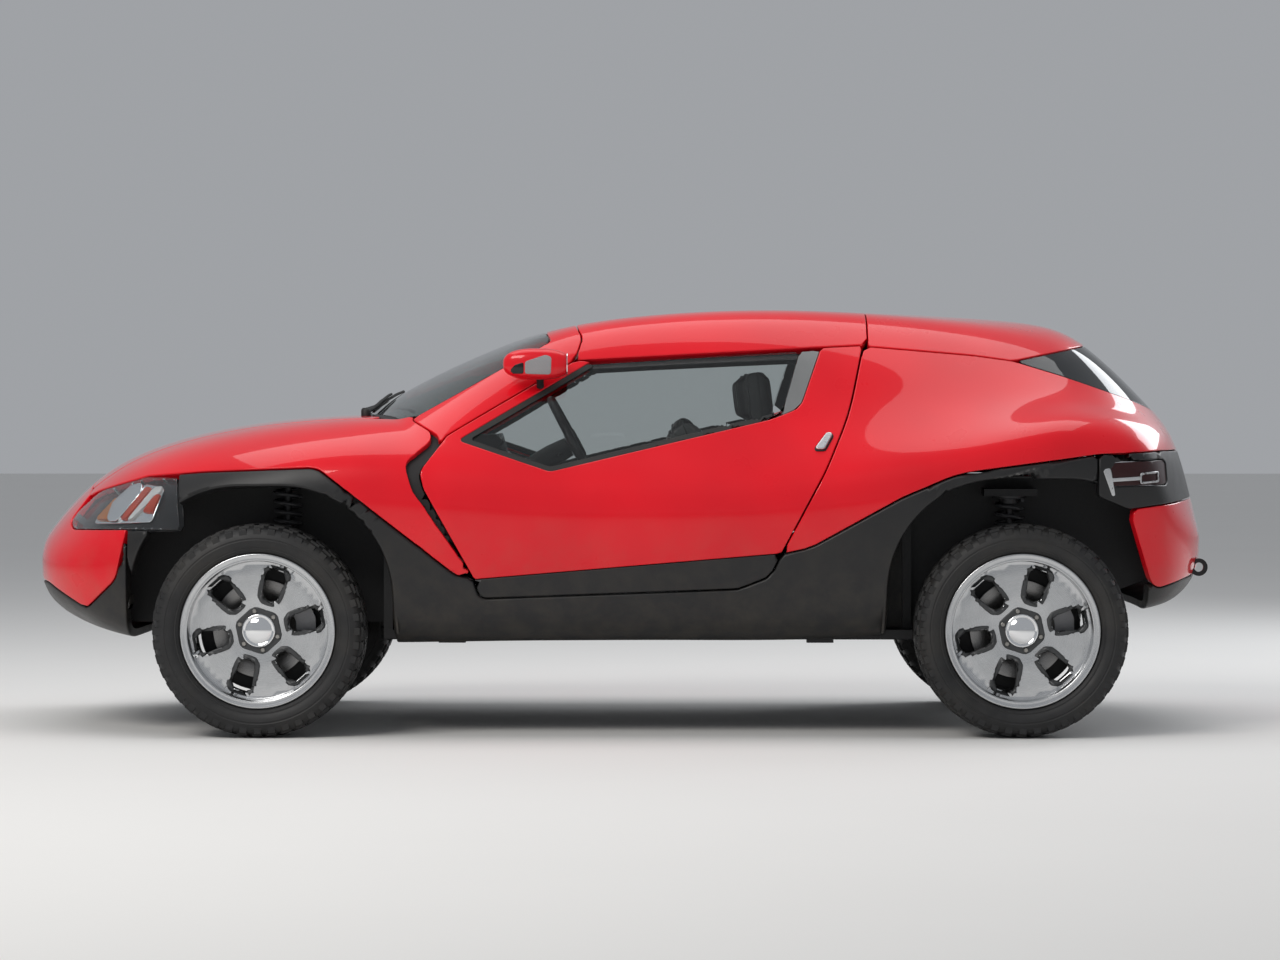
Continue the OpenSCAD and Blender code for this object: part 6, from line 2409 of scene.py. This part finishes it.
@dataclass
class RunningGear:
    """Struts with coil springs, arch liners, engine, wipers and finishes of the kept nodes.

    Attributes:
        strut_foot: Height of the struts' feet.
        coil_pitch: Rise of a spring in one turn.
        coil_turns: Turns of a spring.
        liner_front, liner_rear: Ends of the liners along the car.
        liner_foot: Height of the liners' lower edges.
        liner_outer: Distance of the liners' outer edges from the middle of the car.
        front_inner: Distance of the front liners' inner edges.
        bay_reach: Height above which the front liners reach into the engine bay.
        bay_side: Distance of their inner edges there.
        rear_wall: Place of the cabin's rear wall.
        rear_inner: Distance of the rear liners' inner edges ahead of that wall.
        boot_side: Distance of their inner edges behind it.
        cheek: Distance of both faces of the cheeks that close the rear wells.
    """

    strut_foot: float = 276.3
    coil_pitch: float = 32.0
    coil_turns: int = 7
    liner_front: float = -1450.0
    liner_rear: float = 1660.0
    liner_foot: float = 345.0
    liner_outer: float = 846.0
    front_inner: float = 612.0
    bay_reach: float = 780.0
    bay_side: float = 472.0
    rear_wall: float = 959.0
    rear_inner: float = 622.0
    boot_side: float = 522.0
    cheek: Point = (622.0, 626.0)

    def struts(self) -> None:
        """Dampers and springs at all four wheels."""
        for word, x, y, top in (("front", -1125.0, 545.0, 871.7), ("rear", 1324.0, 590.0, 799.7)):
            tall = top - self.strut_foot
            low = tall - self.coil_pitch * self.coil_turns - 8
            body = [(0, 0), (21, 0), (24, 4), (24, low - 10), (53, low - 10), *arc((53, low - 7), 3, -90, 90, 4),
                    (26, low - 3), (22, low), (22, low + 60), (12, low + 62), (12, tall - 30), (30, tall - 26),
                    (30, tall - 10), (54, tall - 8), (55, tall), (0, tall)]
            dampers, springs = [], []
            for s in (-1, 1):
                dampers.append(Shapes.lathe("damper", body, 40, (x, s * y, self.strut_foot)))
                foot = (x, s * y, self.strut_foot + low + 3)
                springs.append(coil("spring", Finishes.spring, foot, 45.0, tall - low - 18, self.coil_turns, 6.5))
            place(Shapes.join(f"{word}_dampers", dampers), Finishes.cast, f"{word}_struts")
            place(Shapes.join(f"{word}_springs", springs), Finishes.spring)

    def arch(self, line: np.ndarray, inner: np.ndarray, sign: int) -> bpy.types.Mesh:
        """One arch liner.

        Args:
            line: Points of the well's outline in side view.
            inner: Distance of its inner edge at each point.
            sign: The side of the car, as the sign of its Y.

        Returns:
            The mesh.
        """
        ahead = unit(np.gradient(line, axis=0))
        out = np.column_stack([-ahead[:, 1], ahead[:, 0]])
        out *= np.sign(((line - line.mean(0)) * out).sum(1))[:, None]
        outer = np.full(len(line), self.liner_outer)
        bm = bmesh.new()
        rows = []
        for offset, across in ((3, inner), (3, outer), (9, outer), (9, inner)):
            rows.append([bm.verts.new((p[0], sign * y, p[1])) for p, y in zip(line + out * offset, across)])
        for a, b in zip(rows, rows[1:] + rows[:1]):
            for k in range(len(line) - 1):
                bm.faces.new((a[k], a[k + 1], b[k + 1], b[k]))
        bm.faces.new([r[0] for r in rows])
        bm.faces.new([r[-1] for r in rows][::-1])
        return Shapes.finish("liner", bm)

    def liners(self) -> None:
        """Dark liners round the wheel wells, and cheeks that close the rear wells towards the cabin."""
        lines = {}
        for word, outline in ShutLines.wells().items():
            outline[:, 1] = outline[:, 1].clip(min=self.liner_foot)
            lines[word] = outline[(outline[:, 0] > self.liner_front) & (outline[:, 0] < self.liner_rear)]
        front, rear = lines["front"], lines["rear"]
        inner = {"front": np.where(front[:, 1] > self.bay_reach, self.bay_side, self.front_inner),
                 "rear": np.where(rear[:, 0] < self.rear_wall, self.rear_inner, self.boot_side)}
        for word, line in lines.items():
            pair = [self.arch(line, inner[word], sign) for sign in (-1, 1)]
            place(Shapes.join(f"{word}_arch_liners", pair), Finishes.inner_black)
        top = np.interp(self.rear_wall, rear[:, 0], rear[:, 1])
        cheek = np.array([(rear[0, 0], self.liner_foot), *rear[rear[:, 0] < self.rear_wall][1:],
                          (self.rear_wall, top), (self.rear_wall, self.liner_foot)])
        faces = [sorted(sign * y for y in self.cheek) for sign in (-1, 1)]
        pair = [Shapes.prism("cheek", cheek, low, high, View.SIDE, 1.0) for low, high in faces]
        place(Shapes.join("rear_well_cheeks", pair), Finishes.inner_black)

    def engine(self) -> None:
        """Engine block with ribbed covers, intake pipes and pulleys."""
        place(Shapes.block("engine_case", (-1420, -215, 286), (-920, 215, 700), 26.0), Finishes.cast, "engine")
        place(Shapes.block("engine_head", (-1400, -150, 700), (-940, 150, 770), 12.0), Finishes.caliper)
        for k, y in enumerate((-85, 85)):
            cover = rounded([(y - 62, 768, 6), (y - 52, 812, 16), (y + 52, 812, 16), (y + 62, 768, 6)])
            place(Shapes.prism(f"cam_cover_{k + 1}", cover, -1385, -955, View.FRONT, 8.0), Finishes.gloss_black)
            starts = np.arange(-1360, -975, 48.0)
            ribs = [Shapes.block("rib", (x, y - 46, 808), (x + 9, y + 46, 819), 3.0) for x in starts]
            place(Shapes.join(f"cover_ribs_{k + 1}", ribs), Finishes.satin)
        for k, x in enumerate((-1330, -1225, -1120, -1015)):
            path = [(x, 148, 735), (x, 190, 750), (x, 228, 770), (x, 246, 800), (x, 240, 828), (x, 215, 842)]
            place(Shapes.tube(f"intake_pipe_{k + 1}", path, 24.0, 20), Finishes.satin)
        log = [(x, 205, 838) for x in (-1372, -1360, -985, -973)]
        place(Shapes.tube("intake_log", log, [20, 28, 28, 20], 24), Finishes.satin)
        forward = Matrix.Rotation(-math.pi / 2, 4, "Y")
        for k, (y, z, r) in enumerate(((0, 420, 82), (-120, 560, 52), (130, 590, 48))):
            wheel = [(0, 0), (r * 0.4, 0), (r * 0.5, 8), (r - 10, 8), (r, 2), (r - 6, 12), (r, 22), (r - 10, 26),
                     (0, 26)]
            place(Shapes.lathe(f"pulley_{k + 1}", wheel, 48, (-1421, y, z), forward), Finishes.steel)
        cap = [(0, 812), (30, 812), (30, 824), (24, 830), (0, 830)]
        place(Shapes.lathe("oil_cap", cap, 24, (-1010, -85, 0)), Finishes.inner_black)

    def cooling(self) -> None:
        """Radiator with its fins and a hose."""
        hose = [(-1410, -180, 640), (-1470, -190, 660), (-1530, -190, 640), (-1580, -180, 590), (-1640, -170, 560)]
        place(Shapes.tube("coolant_hose", hose, 22.0, 18), Finishes.seal)
        place(Shapes.block("radiator", (-1668, -330, 400), (-1630, 330, 632), 6.0), Finishes.structure)
        fins = [[(-1629, y, z) for z in (410, 620)] for y in np.arange(-310, 311, 10.0)]
        place(Shapes.join("radiator_fins", [Shapes.tube("fin", p, 2.0, 6) for p in fins]), Finishes.satin)

    def bonnet_liner(self) -> None:
        """Sound pad under the bonnet."""
        sheet("bonnet_pad", Finishes.carpet, [inside(ShutLines.bonnet(), 70.0, View.PLAN, ABOVE_BELLY)],
              body="bonnet", slot="black_structure", thickness=6.0, sink=24.0, roll=3.0, cell=36.0)

    def wipers(self) -> None:
        """Two wiper arms with blades, laid on the windscreen."""
        u, v = np.meshgrid(np.linspace(7.0, 11.5, 300), np.linspace(-3.0, 3.0, 300), indexing="ij")
        skin = SKIN.points(u.ravel(), v.ravel())

        def on_glass(x: float, y: float, lift: float) -> Point:
            """Point above the windscreen at a place in plan."""
            near = np.argsort((skin[:, 0] - x) ** 2 + (skin[:, 1] - y) ** 2)[:4]
            return (x, y, float(skin[near, 2].mean()) + lift)

        button = [(0, -6), (17, -6), (17, 12), (12, 19), (0, 20)]
        for k, (start, end) in enumerate((((-868, -430), (-770, 60)), ((-900, 10), (-770, 470)))):
            line = np.linspace(start, end, 16)
            lifts = 16.0 + 4.0 * np.sin(3.1 * np.linspace(0, 0.7, 11))
            arm = [on_glass(*p, lift) for p, lift in zip(line, lifts)]
            place(Shapes.tube(f"wiper_arm_{k + 1}", arm, np.linspace(8, 4.5, 11), 10), Finishes.inner_black)
            blade = [on_glass(*p, 7.0) for p in line[3:]]
            place(Shapes.tube(f"wiper_blade_{k + 1}", blade, 5.0, 8), Finishes.seal)
            hub = Shapes.lathe(f"wiper_hub_{k + 1}", button, 24, on_glass(*start, 4.0))
            place(hub, Finishes.inner_black)

    def kept(self) -> None:
        """Finishes of the nodes that stay as they are packed."""
        table = {Finishes.structure: ("tub", "exhaust", "tow_eye"),
                 Finishes.cast: ("front_arms", "rear_arms", "knuckle_left", "knuckle_right")}
        for finish, names in table.items():
            for name in names:
                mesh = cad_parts[name].data
                mesh.materials.clear()
                mesh.materials.append(finish.material())
                LOG.info("%s keeps its shape with %s", name, finish.name)

    def build(self) -> None:
        """Makes the running gear."""
        self.struts()
        self.liners()
        self.engine()
        self.cooling()
        self.bonnet_liner()
        self.wipers()
        self.kept()


@dataclass
class Studio:
    """Floor, light and the camera at the photograph's angle.

    Attributes:
        eye: Place of the camera in metres.
        focal_pixels: Focal length in the photograph's pixels.
        image: Width and height of the photograph in pixels.
        principal: Pixel that the camera's axis meets.
        floor_color: Colour of the floor, linear.
        floor_half: Half size of the floor in metres.
        sky_strength: Strength of the even sky.
    """

    eye: Point = (0.1675, -14.83, 1.08)
    focal_pixels: float = 4200.0
    image: tuple[int, int] = (1280, 960)
    principal: Point = (668.0, 413.0)
    floor_color: Point = (0.80, 0.795, 0.78)
    floor_half: float = 60.0
    sky_strength: float = 0.38

    def camera(self) -> None:
        """Sets the camera so that the principal point of the photograph is met without shift."""
        data = bpy.data.cameras.new("photo_camera")
        data.sensor_width = 36.0
        data.lens = self.focal_pixels * data.sensor_width / self.image[0]
        data.clip_end = 200.0
        yaw = math.atan((self.principal[0] - self.image[0] / 2) / self.focal_pixels)
        pitch = math.atan((self.image[1] / 2 - self.principal[1]) / self.focal_pixels)
        look = Vector((-math.sin(yaw) * math.cos(pitch), math.cos(yaw) * math.cos(pitch), -math.sin(pitch)))
        camera = bpy.data.objects.new("photo_camera", data)
        camera.matrix_world = Matrix.Translation(self.eye) @ look.to_track_quat("-Z", "Y").to_matrix().to_4x4()
        bpy.context.scene.collection.objects.link(camera)
        bpy.context.scene.camera = camera

    def floor(self) -> None:
        """Lays the flat pale floor."""
        bm = bmesh.new()
        bmesh.ops.create_grid(bm, x_segments=2, y_segments=2, size=self.floor_half)
        mesh = bpy.data.meshes.new("studio_floor")
        bm.to_mesh(mesh)
        bm.free()
        shade = Shade("pale_floor")
        darker = tuple(c * 0.97 for c in self.floor_color)
        tone = shade.mix(shade.noise(0.7, 3.0), self.floor_color, darker)
        shade.set(Base_Color=tone, Roughness=0.9, Specular_IOR_Level=0.1)
        mesh.materials.append(shade.material)
        floor = bpy.data.objects.new("studio_floor", mesh)
        bpy.context.scene.collection.objects.link(floor)

    def lamp(self, name: str, at: Point, aim: Point, size: tuple[float, float], power: float,
             color: Point = (1.0, 1.0, 1.0)) -> None:
        """Adds a soft area lamp.

        Args:
            name: Its name.
            at: Its place.
            aim: The point that it faces.
            size: Width and height.
            power: Power in watts.
            color: Its colour.
        """
        data = bpy.data.lights.new(name, "AREA")
        data.shape = "RECTANGLE"
        data.size, data.size_y = size
        data.energy = power
        data.color = color
        lamp = bpy.data.objects.new(name, data)
        turn = (Vector(aim) - Vector(at)).to_track_quat("-Z", "Y").to_matrix().to_4x4()
        lamp.matrix_world = Matrix.Translation(at) @ turn
        bpy.context.scene.collection.objects.link(lamp)

    def light(self) -> None:
        """Sets the soft lamps and an even sky."""
        self.lamp("key_lamp", (-4.5, -6.5, 6.5), (0.0, 0.0, 0.6), (5.0, 3.0), 390.0, (1.0, 0.97, 0.93))
        self.lamp("top_lamp", (0.0, 0.5, 7.5), (0.0, 0.0, 0.0), (9.0, 5.0), 250.0)
        self.lamp("rear_lamp", (6.0, 5.0, 4.0), (0.5, 0.0, 0.8), (4.0, 3.0), 150.0, (0.95, 0.97, 1.0))
        world = bpy.data.worlds.new("studio_sky")
        bpy.context.scene.world = world
        world.use_nodes = True
        tree = world.node_tree
        back = tree.nodes["Background"]
        back.inputs["Color"].default_value = (0.92, 0.95, 1.0, 1.0)
        back.inputs["Strength"].default_value = self.sky_strength

    def build(self) -> None:
        """Sets the whole studio."""
        bpy.context.scene.view_settings.view_transform = "Standard"
        self.camera()
        self.floor()
        self.light()


def main() -> None:
    """Builds the car's pieces in order."""
    logging.basicConfig(level=logging.INFO, format="%(message)s")
    Studio().build()
    OuterBody().build()
    Vents().build()
    Lamps().build()
    for side in Side:
        Door(side).build()
    Cabin().build()
    RunningGear().build()
    for axle, x in (("front", ShutLines.front_axle_x), ("rear", ShutLines.rear_axle_x)):
        for side in Side:
            Wheel(f"{axle}_{side.word}", x, side).build()


if __name__ == "__main__":
    main()
